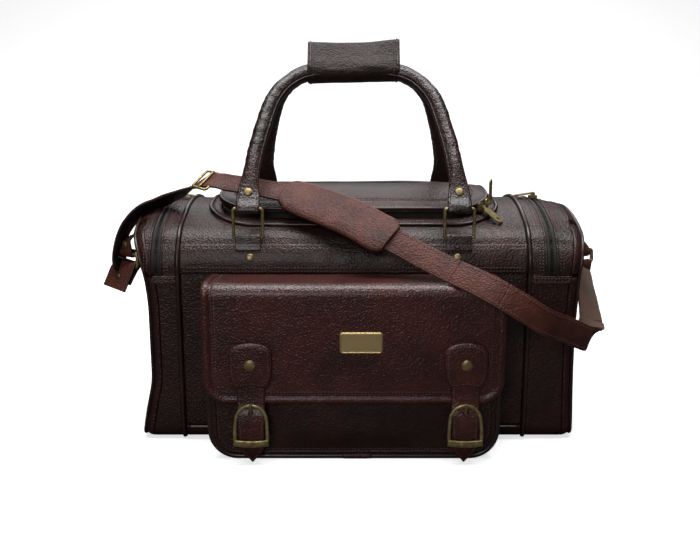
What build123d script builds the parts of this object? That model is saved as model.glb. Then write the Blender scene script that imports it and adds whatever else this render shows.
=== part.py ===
from build123d import *
import math
import os

# Leather weekender bag. Origin at the bottom centre of the bag body, +Z up, front towards -Y.
# Sizes in millimetres.

# Bag body
body_half_depth = 115.0
crown_height = 248.0
shoulder_height = 231.0
shoulder_half_depth = 85.0
base_radius = 14.0
main_half_length = 184.0
end_half_length_top = 246.0
end_half_length_base = 236.0
end_edge_radius = 11.0
leather = 2.0
seam_gap = 0.2
piping_radius = 1.9
piping_room = 2.3

# Seam heights
base_seam = 16.0
band_bottom = 184.0
band_top = 214.0
band_thickness = 1.6
end_seam = 181.0
end_zip_x = 207.0
end_zip_half_width = 6.0

# Lid and its opening
lid_half_length = 147.0
lid_half_depth = 75.0
lid_corner = 40.0
collar_height = 3.0
zip_height = 4.0
upper_tape_height = 2.0
lid_height = 13.5
flange_width = 12.0

# Handles
ring_wire = 1.75
ring_size = 30.5
handle_half_spacing = 110.0
ring_pivot_y = 108.0
ring_pivot_z = 221.0
grip_y = 11.5
grip_z = 392.0
grip_half_length = 51.0
tube_radius = 8.5

# Front pocket and flap
pocket_half_width = 147.0
pocket_front_y = 164.5
pocket_bottom = 2.0
pocket_top = 166.0
pocket_corner = 28.0
flap_half_width = 151.5
flap_bottom = 61.0
flap_inner_y = 168.5
flap_top = 184.5
flap_leather = 2.5
flap_bend = 12.5
flap_hinge_y = 118.5
flap_hinge_z = flap_top - flap_leather / 2

pocket_side_zip_y = 140.0
pocket_zip_low = 38.0
pocket_zip_high = 156.0
pocket_zip_slot = 6.8
pocket_zip_coil = 3.2
snap_radius = 7.0

# Closures and plate, set a little to the right of the middle
closure_x = 108.0
closure_shift = 4.5
closure_left = closure_shift - closure_x
closure_right = closure_shift + closure_x
nameplate_shift = 7.5
strap_tip = 0.0
strap_half_width = 15.0
tab_half_width = 21.5
tab_bottom = 80.0
closure_top = 127.0
buckle_bottom = 21.0
buckle_bar_z = 31.5
buckle_top = 63.0
buckle_half_width = 17.5
closure_rivet_z = 104.0
snap_z = 45.0

# Shoulder strap
shoulder_strap_thickness = 3.0
ring_tab_z = 193.0
side_ring_y = 45.0
strap_ring_width = 34.0
strap_ring_drop = 13.0

os.makedirs("parts", exist_ok=True)


def save(piece, name):
    """Label one sub-part and write it under its own name."""
    piece.part.label = name
    export_step(piece.part, f"parts/{name}.step")


def keep(x0, x1, y0, y1, z0, z1, mode=Mode.INTERSECT):
    """Box between two corners, applied to the block being built."""
    with Locations(((x0 + x1) / 2, (y0 + y1) / 2, (z0 + z1) / 2)):
        Box(x1 - x0, y1 - y0, z1 - z0, mode=mode)


# Cross-section of the body: upright walls, a shoulder arc and a shallow crown arc, all tangent.
crown_rise = crown_height - shoulder_height
crown_radius = (shoulder_half_depth**2 + crown_rise**2) / (2 * crown_rise)
crown_half_angle = math.asin(shoulder_half_depth / crown_radius)
crown_centre_z = crown_height - crown_radius
shoulder_radius = (body_half_depth - shoulder_half_depth) / (1 - math.sin(crown_half_angle))
wall_top = shoulder_height - shoulder_radius * math.cos(crown_half_angle)


def prism(growth, x0, x1):
    """Body cross-section grown outwards by growth, as a solid from x0 to x1."""
    bend = (math.pi / 2 - crown_half_angle) / 2
    bend_y = body_half_depth - shoulder_radius * (1 - math.cos(bend))
    bend_z = wall_top + shoulder_radius * math.sin(bend)
    crown_mid = crown_half_angle / 2
    crown_y = crown_radius * math.sin(crown_mid)
    crown_z = crown_centre_z + crown_radius * math.cos(crown_mid)
    with BuildPart() as solid:
        with BuildSketch(Plane.YZ.offset(x0)) as section:
            with BuildLine():
                Line((0, 0), (body_half_depth, 0))
                Line((body_half_depth, 0), (body_half_depth, wall_top))
                ThreePointArc(
                    (body_half_depth, wall_top), (bend_y, bend_z), (shoulder_half_depth, shoulder_height)
                )
                ThreePointArc((shoulder_half_depth, shoulder_height), (crown_y, crown_z), (0, crown_height))
                mirror(about=Plane.YZ)
            make_face()
            lower = section.vertices().group_by(Axis.Y)[0]
            fillet([corner for corner in lower if abs(corner.X) > base_radius], base_radius)
            if growth:
                offset(amount=growth, mode=Mode.REPLACE)
        extrude(amount=x1 - x0)
    return solid.part


def crown_at(y):
    """Height of the body's crown at a depth y inside the shoulders."""
    return crown_centre_z + math.sqrt(crown_radius**2 - y**2)


# Body panels between the two end seams
panel_half = main_half_length - piping_room
outer = prism(0, -panel_half, panel_half)
inner = prism(-leather, -panel_half, panel_half)

with BuildPart() as base_panel:
    add(outer)
    add(inner, mode=Mode.SUBTRACT)
    keep(-panel_half, panel_half, -200, 200, -1, base_seam)
save(base_panel, "base_panel")

with BuildPart() as front_panel:
    add(outer)
    add(inner, mode=Mode.SUBTRACT)
    keep(-panel_half, panel_half, -200, 0, base_seam + seam_gap, band_bottom + 14)
save(front_panel, "front_panel")

with BuildPart() as rear_panel:
    add(outer)
    add(inner, mode=Mode.SUBTRACT)
    keep(-panel_half, panel_half, 0, 200, base_seam + seam_gap, band_bottom + 14)
save(rear_panel, "rear_panel")

with BuildPart() as front_band:
    add(prism(band_thickness + seam_gap, -panel_half, panel_half))
    add(prism(seam_gap, -panel_half, panel_half), mode=Mode.SUBTRACT)
    keep(-panel_half, panel_half, -200, 0, band_bottom, band_top)
save(front_band, "front_band")

with BuildPart() as top_panel:
    add(outer)
    add(inner, mode=Mode.SUBTRACT)
    keep(-panel_half, panel_half, -200, 200, band_bottom + 14 + seam_gap, crown_height + 1)
    with BuildSketch(Plane.XY.offset(shoulder_height - 20)):
        RectangleRounded(
            2 * (lid_half_length + seam_gap), 2 * (lid_half_depth + seam_gap), lid_corner + seam_gap
        )
    extrude(amount=60, mode=Mode.SUBTRACT)
save(top_panel, "top_panel")


# End sections
def end_block(side, inset, x_inner):
    """Solid end section from x_inner to the leaning end wall, shrunk by inset."""
    lean = (end_half_length_top - end_half_length_base) / shoulder_height
    wall_low = end_half_length_base - 50 * lean - inset
    wall_high = end_half_length_base + 300 * lean - inset
    x_outer = end_half_length_top + 20
    body = prism(-inset, min(side * x_inner, side * x_outer), max(side * x_inner, side * x_outer))
    with BuildPart() as block:
        add(body)
        with BuildSketch(Plane.XZ.offset(-150)):
            Polygon((0, -50), (side * wall_low, -50), (side * wall_high, 300), (0, 300), align=None)
        extrude(amount=300, mode=Mode.INTERSECT)
        wall = block.faces().sort_by(Axis.X)[-1 if side > 0 else 0]
        fillet(wall.edges(), end_edge_radius - inset)
    return block.part


def side_box(side, x0, x1, z0, z1, mode):
    """Box across the full depth between two distances from the middle, on one side."""
    keep(min(side * x0, side * x1), max(side * x0, side * x1), -200, 200, z0, z1, mode=mode)


end_inner_x = main_half_length + piping_room
zip_inner_x = end_zip_x - end_zip_half_width
zip_outer_x = end_zip_x + end_zip_half_width
coil_half = 2.4
above = crown_height + 20
for side, side_name in ((-1, "left"), (1, "right")):
    shell = end_block(side, 0, end_inner_x)
    core = end_block(side, leather, end_inner_x - 1)

    with BuildPart() as end_lower:
        add(shell)
        add(core, mode=Mode.SUBTRACT)
        side_box(side, zip_inner_x, end_half_length_top + 20, end_seam, above, Mode.SUBTRACT)
    save(end_lower, f"{side_name}_end_lower")

    with BuildPart() as end_cap:
        add(shell)
        add(core, mode=Mode.SUBTRACT)
        side_box(side, zip_outer_x, end_half_length_top + 20, end_seam + seam_gap, above, Mode.INTERSECT)
    save(end_cap, f"{side_name}_end_cap")

    middle = side * end_zip_x
    tape = prism(-0.5, middle - end_zip_half_width + seam_gap, middle + end_zip_half_width - seam_gap)
    coil = prism(0.6, middle - coil_half, middle + coil_half)
    inside = prism(-1.4, middle - end_zip_half_width, middle + end_zip_half_width)
    with BuildPart() as end_zip:
        add(tape)
        add(coil)
        add(inside, mode=Mode.SUBTRACT)
        side_box(side, zip_inner_x, zip_outer_x, end_seam + seam_gap, above, Mode.INTERSECT)
    save(end_zip, f"{side_name}_end_zip")

# Inner walls between the main hold and the end sections
divider_inset = leather + 2.5
with BuildPart() as compartment_dividers:
    add(prism(-divider_inset, main_half_length, main_half_length + 1.5))
    add(prism(-divider_inset, -main_half_length - 1.5, -main_half_length))
save(compartment_dividers, "compartment_dividers")

lining_inset = 5.2
lining_half = main_half_length - 1
with BuildPart() as main_lining:
    add(prism(-lining_inset, -lining_half, lining_half))
    add(prism(-lining_inset - 0.8, -lining_half, lining_half), mode=Mode.SUBTRACT)
    with BuildSketch(Plane.XY.offset(shoulder_height - 30)):
        RectangleRounded(2 * lid_half_length, 2 * lid_half_depth, lid_corner)
    extrude(amount=60, mode=Mode.SUBTRACT)
save(main_lining, "main_lining")

board_thickness = 2.4
with BuildPart() as base_board:
    with BuildSketch(Plane.XY.offset(leather + seam_gap)):
        RectangleRounded(2 * (panel_half - 4), 2 * (body_half_depth - base_radius), 12)
    extrude(amount=board_thickness)
save(base_board, "base_board")


# Opening collar, flange and zip round the lid
def lid_ring(grow_out, grow_in, low, high):
    """Band that follows the lid's outline, between two heights above the body's crown."""
    with BuildPart() as band:
        add(prism(high, -lid_half_length - 20, lid_half_length + 20))
        add(prism(low, -lid_half_length - 30, lid_half_length + 30), mode=Mode.SUBTRACT)
        with BuildSketch(Plane.XY.offset(shoulder_height - 40)):
            RectangleRounded(2 * (lid_half_length + grow_out), 2 * (lid_half_depth + grow_out),
                             lid_corner + grow_out)
            if grow_in is not None:
                RectangleRounded(2 * (lid_half_length + grow_in), 2 * (lid_half_depth + grow_in),
                                 lid_corner + grow_in, mode=Mode.SUBTRACT)
        extrude(amount=120, mode=Mode.INTERSECT)
    return band.part


collar_wall = 2.4
with BuildPart() as opening_collar:
    add(lid_ring(0, -collar_wall, -3, collar_height))
    add(lid_ring(flange_width, 0, seam_gap, leather))
save(opening_collar, "opening_collar")

zip_low = collar_height + seam_gap
zip_middle = zip_low + zip_height
with BuildPart() as lid_zip_lower:
    add(lid_ring(-0.4, -1.4, zip_low, zip_middle))
    add(lid_ring(0.6, -1.8, zip_middle - 1.2, zip_middle))
save(lid_zip_lower, "lid_zip_lower")

zip_high = zip_middle + 0.3
with BuildPart() as lid_zip_upper:
    add(lid_ring(-0.4, -1.4, zip_high, zip_high + upper_tape_height))
    add(lid_ring(0.6, -1.8, zip_high, zip_high + 1.2))
save(lid_zip_upper, "lid_zip_upper")

lid_low = zip_high + upper_tape_height + seam_gap
with BuildPart() as lid_top:
    add(lid_ring(0, None, lid_low, lid_height))
    add(lid_ring(-collar_wall, None, lid_low - 1, lid_height - collar_wall), mode=Mode.SUBTRACT)
save(lid_top, "lid_top")

# Front pocket
pocket_wall = 2.2
pocket_piping_y = pocket_front_y - 1.8


def pocket_prism(inset, near, far, top):
    """Pocket outline shrunk by inset, as a solid between two distances in front of the middle."""
    with BuildPart() as solid:
        with BuildSketch(Plane.XZ.offset(near)) as outline:
            low = pocket_bottom + inset
            with Locations((0, (low + top + 80) / 2)):
                RectangleRounded(2 * (pocket_half_width - inset), top + 80 - low, pocket_corner - inset)
            with Locations((0, top + 100)):
                Rectangle(2 * pocket_half_width + 20, 200, mode=Mode.SUBTRACT)
        extrude(amount=far - near)
    return solid.part


gusset_near = body_half_depth + seam_gap
gusset_far = pocket_front_y - 4.1
pocket_zip_middle = (pocket_zip_low + pocket_zip_high) / 2
pocket_zip_length = pocket_zip_high - pocket_zip_low
with BuildPart() as pocket_gusset:
    add(pocket_prism(0, gusset_near, gusset_far, pocket_top))
    add(pocket_prism(pocket_wall, gusset_near - 1, gusset_far + 1, pocket_top + 1), mode=Mode.SUBTRACT)
    with BuildSketch(Plane.YZ.offset(-pocket_half_width - 1)):
        with Locations((-pocket_side_zip_y, pocket_zip_middle)):
            Rectangle(pocket_zip_slot, pocket_zip_length)
    extrude(amount=pocket_wall + 2, mode=Mode.SUBTRACT)
save(pocket_gusset, "pocket_gusset")

with BuildPart() as pocket_front:
    add(pocket_prism(pocket_wall, pocket_front_y - 2.3, pocket_front_y, pocket_top))
save(pocket_front, "pocket_front")

with BuildPart() as seam_piping:
    for x in (-main_half_length, main_half_length):
        add(prism(1.3, x - piping_radius, x + piping_radius))
        add(prism(-leather, x - piping_radius, x + piping_radius), mode=Mode.SUBTRACT)
    add(pocket_prism(-0.6, pocket_piping_y - piping_radius, pocket_piping_y + piping_radius, pocket_top))
    add(pocket_prism(pocket_wall - 0.3, pocket_piping_y - 5, pocket_piping_y + 5, pocket_top + 1),
        mode=Mode.SUBTRACT)
save(seam_piping, "seam_piping")

with BuildPart() as pocket_side_zip:
    for proud, across in ((-0.4, pocket_zip_slot - 2 * seam_gap), (0.4, pocket_zip_coil)):
        with BuildSketch(Plane.YZ.offset(-pocket_half_width - proud)):
            with Locations((-pocket_side_zip_y, pocket_zip_middle)):
                Rectangle(across, pocket_zip_length - 2 * seam_gap)
        extrude(amount=proud + 1.2)
save(pocket_side_zip, "pocket_side_zip")

with BuildPart() as snap_sockets:
    with BuildSketch(Plane.XZ.offset(pocket_front_y + 0.02)):
        with Locations((closure_left, snap_z), (closure_right, snap_z)):
            Circle(snap_radius)
    extrude(amount=1.6)
    with BuildSketch(Plane.XZ.offset(pocket_front_y + 0.8)):
        with Locations((closure_left, snap_z), (closure_right, snap_z)):
            Circle(3)
    extrude(amount=1, mode=Mode.SUBTRACT)
save(snap_sockets, "snap_sockets")

# Flap: one sheet with a rounded bend, hinged along its sewn rear edge
bend_y = flap_inner_y + flap_leather - flap_bend
bend_z = flap_top - flap_bend
with BuildPart() as flap:
    with BuildSketch(Plane.YZ.offset(-flap_half_width)):
        with BuildLine():
            Line((-flap_hinge_y, flap_top), (-bend_y, flap_top))
            RadiusArc((-bend_y, flap_top), (-bend_y - flap_bend, bend_z), -flap_bend)
            Line((-bend_y - flap_bend, bend_z), (-bend_y - flap_bend, flap_bottom))
            Line((-bend_y - flap_bend, flap_bottom), (-flap_inner_y, flap_bottom))
            Line((-flap_inner_y, flap_bottom), (-flap_inner_y, bend_z))
            RadiusArc((-flap_inner_y, bend_z), (-bend_y, flap_top - flap_leather), flap_bend - flap_leather)
            Line((-bend_y, flap_top - flap_leather), (-flap_hinge_y, flap_top - flap_leather))
            Line((-flap_hinge_y, flap_top - flap_leather), (-flap_hinge_y, flap_top))
        make_face()
    extrude(amount=2 * flap_half_width)
    with BuildSketch(Plane.XZ.offset(100)):
        with Locations((0, flap_bottom + 100)):
            RectangleRounded(2 * flap_half_width, 200, 24)
        with Locations((0, flap_bottom + 150)):
            Rectangle(2 * flap_half_width, 150)
    extrude(amount=100, mode=Mode.INTERSECT)
save(flap, "flap")

# Closures on the flap: pointed strap, wide tab over it, buckle frame and prong
flap_outer_y = flap_inner_y + flap_leather
strap_y = flap_outer_y + 0.1
strap_leather = 2.4
closure_tab_y = strap_y + strap_leather + 0.1
frame_y = closure_tab_y + 2.0
frame_thickness = 3.0
tip_length = 14.0
bar_radius = 1.5
knuckle_radius = 2.7
fit = 0.06

strap_outline = (
    (-strap_half_width, closure_top - 3),
    (-strap_half_width, strap_tip + tip_length),
    (0, strap_tip),
    (strap_half_width, strap_tip + tip_length),
    (strap_half_width, closure_top - 3),
)
with BuildPart() as closure_straps:
    with BuildSketch(Plane.XZ.offset(strap_y)):
        with Locations((closure_left, 0), (closure_right, 0)):
            Polygon(*strap_outline, align=None)
    extrude(amount=strap_leather)
save(closure_straps, "closure_straps")

tab_outline = (
    (-tab_half_width, closure_top),
    (-tab_half_width, tab_bottom + 8),
    (-strap_half_width, tab_bottom),
    (strap_half_width, tab_bottom),
    (tab_half_width, tab_bottom + 8),
    (tab_half_width, closure_top),
)
with BuildPart() as closure_tabs:
    with BuildSketch(Plane.XZ.offset(closure_tab_y)):
        with Locations((closure_left, 0), (closure_right, 0)):
            Polygon(*tab_outline, align=None)
    extrude(amount=flap_leather)
save(closure_tabs, "closure_tabs")

with BuildPart() as buckle_frames:
    for x in (closure_left, closure_right):
        with BuildSketch(Plane.XZ.offset(frame_y)):
            with Locations((x, (buckle_bottom + buckle_top) / 2)):
                RectangleRounded(2 * buckle_half_width, buckle_top - buckle_bottom, 6)
                with Locations((0, 2)):
                    RectangleRounded(2 * buckle_half_width - 7, buckle_top - buckle_bottom - 10, 4,
                                     mode=Mode.SUBTRACT)
        extrude(amount=frame_thickness)
        with BuildSketch(Plane.YZ.offset(x - buckle_half_width + 2)):
            with Locations((-frame_y - frame_thickness / 2, buckle_bar_z)):
                Circle(bar_radius)
        extrude(amount=2 * buckle_half_width - 4)
save(buckle_frames, "buckle_frames")

prong_y = frame_y + frame_thickness / 2
for x, name in ((closure_left, "left_prong"), (closure_right, "right_prong")):
    with BuildPart() as prong:
        with BuildSketch(Plane.YZ.offset(x - 2)):
            with Locations((-prong_y, buckle_bar_z)):
                Circle(knuckle_radius)
        extrude(amount=4)
        keep(x - 1.3, x + 1.3, -frame_y - frame_thickness - 2.2, -frame_y - frame_thickness - 0.1,
             buckle_bar_z, buckle_top + 2, mode=Mode.ADD)
        with BuildSketch(Plane.YZ.offset(x - 3)):
            with Locations((-prong_y, buckle_bar_z)):
                Circle(bar_radius + fit)
        extrude(amount=6, mode=Mode.SUBTRACT)
    save(prong, name)

with BuildPart() as nameplate:
    plate_z = closure_top - 1
    with BuildSketch(Plane.XZ.offset(flap_outer_y + 0.1)):
        with Locations((nameplate_shift, plate_z)):
            RectangleRounded(43, 22, 2.5)
    extrude(amount=1.6)
    with BuildSketch(Plane.XZ.offset(flap_outer_y + 1.1)):
        with Locations((nameplate_shift, plate_z)):
            RectangleRounded(40, 19, 2)
    extrude(amount=2, mode=Mode.SUBTRACT)
save(nameplate, "nameplate")

# Rivet caps on the tabs, with the snap halves behind the straps
with BuildPart() as snap_studs:
    for x in (closure_left, closure_right):
        with BuildSketch(Plane.XZ.offset(closure_tab_y + flap_leather + 0.02)):
            with Locations((x, closure_rivet_z)):
                Circle(5.4)
        extrude(amount=1.8, taper=20)
        with BuildSketch(Plane.XZ.offset(pocket_front_y + 1.9)):
            with Locations((x, snap_z)):
                Circle(snap_radius)
        extrude(amount=strap_y - pocket_front_y - 2.0)
save(snap_studs, "snap_studs")

# Handles
lean_length = math.hypot(ring_pivot_y - grip_y, grip_z - ring_pivot_z - ring_size)
lean_y = (ring_pivot_y - grip_y) / lean_length
lean_z = (grip_z - ring_pivot_z - ring_size) / lean_length
handle_shoulder = 80.0
handle_bend = 28.0
tab_thickness = 6.4
tab_width = 31.0
leg_start = 30.0
ring_corner = 2.6
loop_radius = 4.3
loop_width = 24.0


def handle_plane(side):
    """Plane of one leaning handle: origin on the ring's upper bar, local y towards the grip."""
    origin = (0, side * ring_pivot_y, ring_pivot_z + ring_size)
    return Plane(origin=origin, x_dir=(1, 0, 0), z_dir=(0, -lean_z, -side * lean_y))


for side, name in ((-1, "front_handle"), (1, "rear_handle")):
    plane = handle_plane(side)
    spacing = handle_half_spacing
    with BuildPart() as handle:
        with BuildLine(plane) as run:
            FilletPolyline(
                (-spacing, leg_start),
                (-spacing, leg_start + 20),
                (-handle_shoulder, lean_length),
                (handle_shoulder, lean_length),
                (spacing, leg_start + 20),
                (spacing, leg_start),
                radius=handle_bend,
            )
        with BuildSketch(Plane(origin=run.line @ 0, z_dir=run.line % 0)):
            Circle(tube_radius)
        sweep(path=run.line)
        for x in (-spacing, spacing):
            end = Plane(
                origin=plane.from_local_coords((x, leg_start, 0)),
                x_dir=(1, 0, 0),
                z_dir=plane.from_local_coords((0, -1, 0)) - plane.origin,
            )
            with BuildSketch(end):
                Circle(tube_radius)
            with BuildSketch(end.offset(14)):
                Ellipse(tab_width / 2, tab_thickness / 2)
            loft()
            with BuildSketch(end.offset(11)):
                Rectangle(tab_width, tab_thickness - 0.8)
            extrude(amount=16)
            with BuildSketch(end.offset(26)):
                Rectangle(tab_width - 7, tab_thickness - 0.8)
            extrude(amount=8)
        bar_start = plane.from_local_coords((-spacing - 20, 0, 0))
        with BuildSketch(Plane(origin=bar_start, z_dir=(1, 0, 0))):
            Circle(ring_wire + fit)
        extrude(amount=2 * spacing + 40, mode=Mode.SUBTRACT)
    save(handle, name)


def ring_path(plane, width, height, corner):
    """Closed rounded rectangle that a ring's wire follows."""
    with BuildSketch(plane) as outline:
        RectangleRounded(width, height, corner)
    return outline.sketch.face().outer_wire()


ring_centre_z = ring_pivot_z + ring_size / 2
for side, name in ((-1, "front_rings"), (1, "rear_rings")):
    planes = [
        Plane(origin=(x, side * ring_pivot_y, ring_centre_z), x_dir=(1, 0, 0), z_dir=(0, -1, 0))
        for x in (-handle_half_spacing, handle_half_spacing)
    ]
    paths = [ring_path(plane, ring_size, ring_size, ring_corner) for plane in planes]
    with BuildPart() as rings:
        for path in paths:
            with BuildSketch(Plane(origin=path @ 0, z_dir=path % 0)):
                Circle(ring_wire)
            sweep(path=path)
    save(rings, name)

# Grip wrap: two padded halves, one on each handle, that close against each other
for side, name in ((-1, "front_grip"), (1, "rear_grip")):
    with BuildPart() as grip:
        with BuildSketch(Plane.YZ.offset(-grip_half_length)):
            with Locations((side * (grip_y - 0.2), grip_z + 10)):
                Rectangle(2 * (grip_y - 1.0), 42)
            with Locations((side * grip_y, grip_z)):
                Circle(tube_radius + 0.1, mode=Mode.SUBTRACT)
        extrude(amount=2 * grip_half_length)
        outer_edges = grip.edges().filter_by(Axis.X).group_by(Axis.Y)[0 if side < 0 else -1]
        fillet(outer_edges, 6)
    save(grip, name)

# Leather loops that hold the rings' lower bars, lying on the shoulder
with BuildPart() as ring_loops:
    for side in (-1, 1):
        for x in (-handle_half_spacing, handle_half_spacing):
            plane = Plane(origin=(x - loop_width / 2, side * ring_pivot_y, ring_pivot_z), z_dir=(1, 0, 0))
            with BuildSketch(plane):
                Circle(loop_radius)
            extrude(amount=loop_width)
            centre_y = body_half_depth - shoulder_radius
            out_y = ring_pivot_y - centre_y
            out_z = ring_pivot_z - wall_top
            reach = math.hypot(out_y, out_z)
            flat = Plane(origin=(x, side * ring_pivot_y, ring_pivot_z), x_dir=(1, 0, 0),
                         z_dir=(0, side * out_y / reach, out_z / reach))
            with BuildSketch(flat.offset(-4.2)):
                with Locations((0, side * 4)):
                    Rectangle(loop_width, 8)
            extrude(amount=2)
            with BuildSketch(plane):
                Circle(ring_wire + fit)
            extrude(amount=loop_width, mode=Mode.SUBTRACT)
save(ring_loops, "handle_ring_loops")

# Rivets through the flat handle ends
rivet_up = 18.0
for side, name in ((-1, "front_handle_rivets"), (1, "rear_handle_rivets")):
    with BuildPart() as rivets:
        plane = handle_plane(side)
        for x in (-handle_half_spacing, handle_half_spacing):
            with BuildSketch(plane.offset(-4.4)):
                with Locations((x, rivet_up)):
                    Circle(1.8)
            extrude(amount=8.8)
            with BuildSketch(plane.offset(tab_thickness / 2 - 0.3)):
                with Locations((x, rivet_up)):
                    Circle(4.2)
            extrude(amount=1.6, taper=20)
            with BuildSketch(plane.offset(-tab_thickness / 2 + 0.3)):
                with Locations((x, rivet_up)):
                    Circle(4.2)
            extrude(amount=-1.6, taper=20)
    save(rivets, name)

# Rivets on the front band
band_rivet_z = (band_bottom + band_top) / 2
with BuildPart() as band_rivets:
    band_face = body_half_depth + band_thickness + seam_gap
    drop = shoulder_radius - math.sqrt(shoulder_radius**2 - (band_rivet_z - wall_top) ** 2)
    with BuildSketch(Plane.XZ.offset(band_face - drop + 0.35)):
        with Locations((-closure_x, band_rivet_z), (closure_x, band_rivet_z)):
            Circle(4.0)
    extrude(amount=1.5, taper=20)
save(band_rivets, "band_rivets")


# Zip sliders and pulls. Local x is the pull's hinge line, local z points out of the bag and the
# pull hangs along -y.
bar_height = 4.6
pull_bar_radius = 0.8
slider_lift = 0.7
pull_knuckle_radius = 1.9
front_slider_angle = 44.0
front_pull_raise = 60.0
end_slider_angle = 24.0
end_pull_droop = 9.0


def build_slider(plane, lift):
    """Slider with two lugs and a cross bar, standing lift above the plane."""
    bar_z = lift + bar_height
    with BuildPart() as slider:
        with BuildSketch(plane.offset(lift)):
            RectangleRounded(10, 10, 3)
        extrude(amount=2.4)
        for x in (-3.6, 2.4):
            with BuildSketch(plane.offset(lift + 1)):
                with Locations((x + 0.6, 0)):
                    Rectangle(1.2, 4)
            extrude(amount=bar_height + 0.4)
        start = plane.from_local_coords((-3.6, 0, bar_z))
        with BuildSketch(Plane(origin=start, z_dir=plane.x_dir)):
            Circle(pull_bar_radius)
        extrude(amount=7.2)
    return slider


def build_pull(plane, length, width):
    """Pull tab on the slider's cross bar, which lies along the plane's local x."""
    with BuildPart() as pull:
        start = plane.from_local_coords((-2.1, 0, 0))
        with BuildSketch(Plane(origin=start, z_dir=plane.x_dir)):
            Circle(pull_knuckle_radius)
        extrude(amount=4.2)
        with BuildSketch(plane):
            with Locations((0, -4)):
                Rectangle(4.2, 8)
            with Locations((0, -3 - length / 2)):
                RectangleRounded(width, length - 2, width * 0.42)
            with Locations((0, -length + 4)):
                RectangleRounded(width * 0.4, 4, width * 0.15, mode=Mode.SUBTRACT)
        extrude(amount=1.4)
        with BuildSketch(Plane(origin=start, z_dir=plane.x_dir)):
            Circle(pull_bar_radius + fit)
        extrude(amount=4.2, mode=Mode.SUBTRACT)
    return pull


def corner_plane(angle, flip):
    """Plane on the lid zip at an angle round the right front corner of the opening."""
    turn = math.radians(angle)
    radius = lid_corner + 0.6
    x = lid_half_length - lid_corner + radius * math.cos(turn)
    y = -(lid_half_depth - lid_corner) - radius * math.sin(turn)
    return Plane(
        origin=(x, y, crown_at(y) + zip_middle + 1.0),
        x_dir=(flip * math.sin(turn), flip * math.cos(turn), 0),
        z_dir=(math.cos(turn), -math.sin(turn), 0),
    )


def drooping(plane, angle):
    """The same plane turned about its x, so that a pull along -y sinks by angle degrees."""
    turn = math.radians(angle)
    return Plane(
        origin=plane.origin,
        x_dir=plane.x_dir,
        z_dir=plane.z_dir * math.cos(turn) - plane.y_dir * math.sin(turn),
    )


bar_lift = slider_lift + bar_height
front_slider_plane = corner_plane(front_slider_angle, 1)
save(build_slider(front_slider_plane, slider_lift), "lid_front_slider")
# This pull lies outwards over the shoulder instead of hanging straight down
lying = drooping(front_slider_plane.offset(bar_lift), -front_pull_raise)
save(build_pull(lying, 26, 12), "lid_front_pull")
end_slider_plane = corner_plane(end_slider_angle, -1)
save(build_slider(end_slider_plane, slider_lift), "lid_end_slider")
save(build_pull(end_slider_plane.offset(bar_lift), 24, 9), "lid_end_pull")

for side, name in ((-1, "left_end"), (1, "right_end")):
    crown_point = (side * end_zip_x, 0, crown_height + 0.6)
    plane = Plane(origin=crown_point, x_dir=(0, side * -1.0, 0), z_dir=(0, 0, 1))
    save(build_slider(plane, slider_lift), f"{name}_slider")
    save(build_pull(drooping(plane.offset(bar_lift), end_pull_droop), 24, 8), f"{name}_pull")

side_zip_plane = Plane(
    origin=(-pocket_half_width - 0.4, -pocket_side_zip_y, pocket_zip_high - 8), x_dir=(0, -1, 0), z_dir=(-1, 0, 0)
)
save(build_slider(side_zip_plane, slider_lift), "pocket_slider")
save(build_pull(side_zip_plane.offset(bar_lift), 38, 5), "pocket_pull")

# Side tabs with the rings that hold the shoulder strap
side_lean = (end_half_length_top - end_half_length_base) / shoulder_height
wall_x = end_half_length_base + side_lean * ring_tab_z
side_ring_x = wall_x + 10.0
side_tab_half_width = 12.0
with BuildPart() as side_tabs:
    for side in (-1, 1):
        with BuildSketch(Plane.XZ.offset(side_ring_y - side_tab_half_width)):
            with Locations((side * side_ring_x, ring_tab_z)):
                Circle(4.0)
            Polygon(
                (side * (side_ring_x - 4.0), ring_tab_z),
                (side * (side_ring_x - 1.9), ring_tab_z),
                (side * (wall_x + 5.2), ring_tab_z + 32),
                (side * (wall_x + 3.4), ring_tab_z + 32),
                align=None,
            )
            with Locations((side * side_ring_x, ring_tab_z)):
                Circle(ring_wire + fit, mode=Mode.SUBTRACT)
        extrude(amount=2 * side_tab_half_width)
save(side_tabs, "side_tabs")

for side, name in ((-1, "left_strap_ring"), (1, "right_strap_ring")):
    centre = (side * side_ring_x, -side_ring_y, ring_tab_z - strap_ring_drop / 2)
    ring_plane = Plane(origin=centre, x_dir=(0, 1, 0), z_dir=(1, 0, 0))
    path = ring_path(ring_plane, strap_ring_width, strap_ring_drop, 3)
    with BuildPart() as strap_ring:
        with BuildSketch(Plane(origin=path @ 0, z_dir=path % 0)):
            Circle(ring_wire)
        sweep(path=path)
    save(strap_ring, name)


# Shoulder strap: flat leather following a line of points, with a sewn pad
def flat_run(stations, width, thickness):
    """Flat strap lofted through stations, each a point, the face's direction and the run's direction."""
    with BuildPart() as run:
        for point, facing, along in stations:
            across = Vector(*along).cross(Vector(*facing))
            with BuildSketch(Plane(origin=point, x_dir=across, z_dir=along)):
                Rectangle(width, thickness)
        loft()
    return run


lower_bar_z = ring_tab_z - strap_ring_drop
half_loop = strap_ring_width / 2 - 3.5
with BuildPart() as strap_ends:
    for side in (-1, 1):
        with BuildSketch(Plane.XZ.offset(side_ring_y - half_loop)):
            with Locations((side * side_ring_x, lower_bar_z)):
                Circle(4.4)
            with Locations((side * (side_ring_x + 3.2), lower_bar_z - 15)):
                Rectangle(2.2, 30)
            with Locations((side * side_ring_x, lower_bar_z)):
                Circle(ring_wire + fit, mode=Mode.SUBTRACT)
        extrude(amount=2 * half_loop)
save(strap_ends, "strap_ends")

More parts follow.
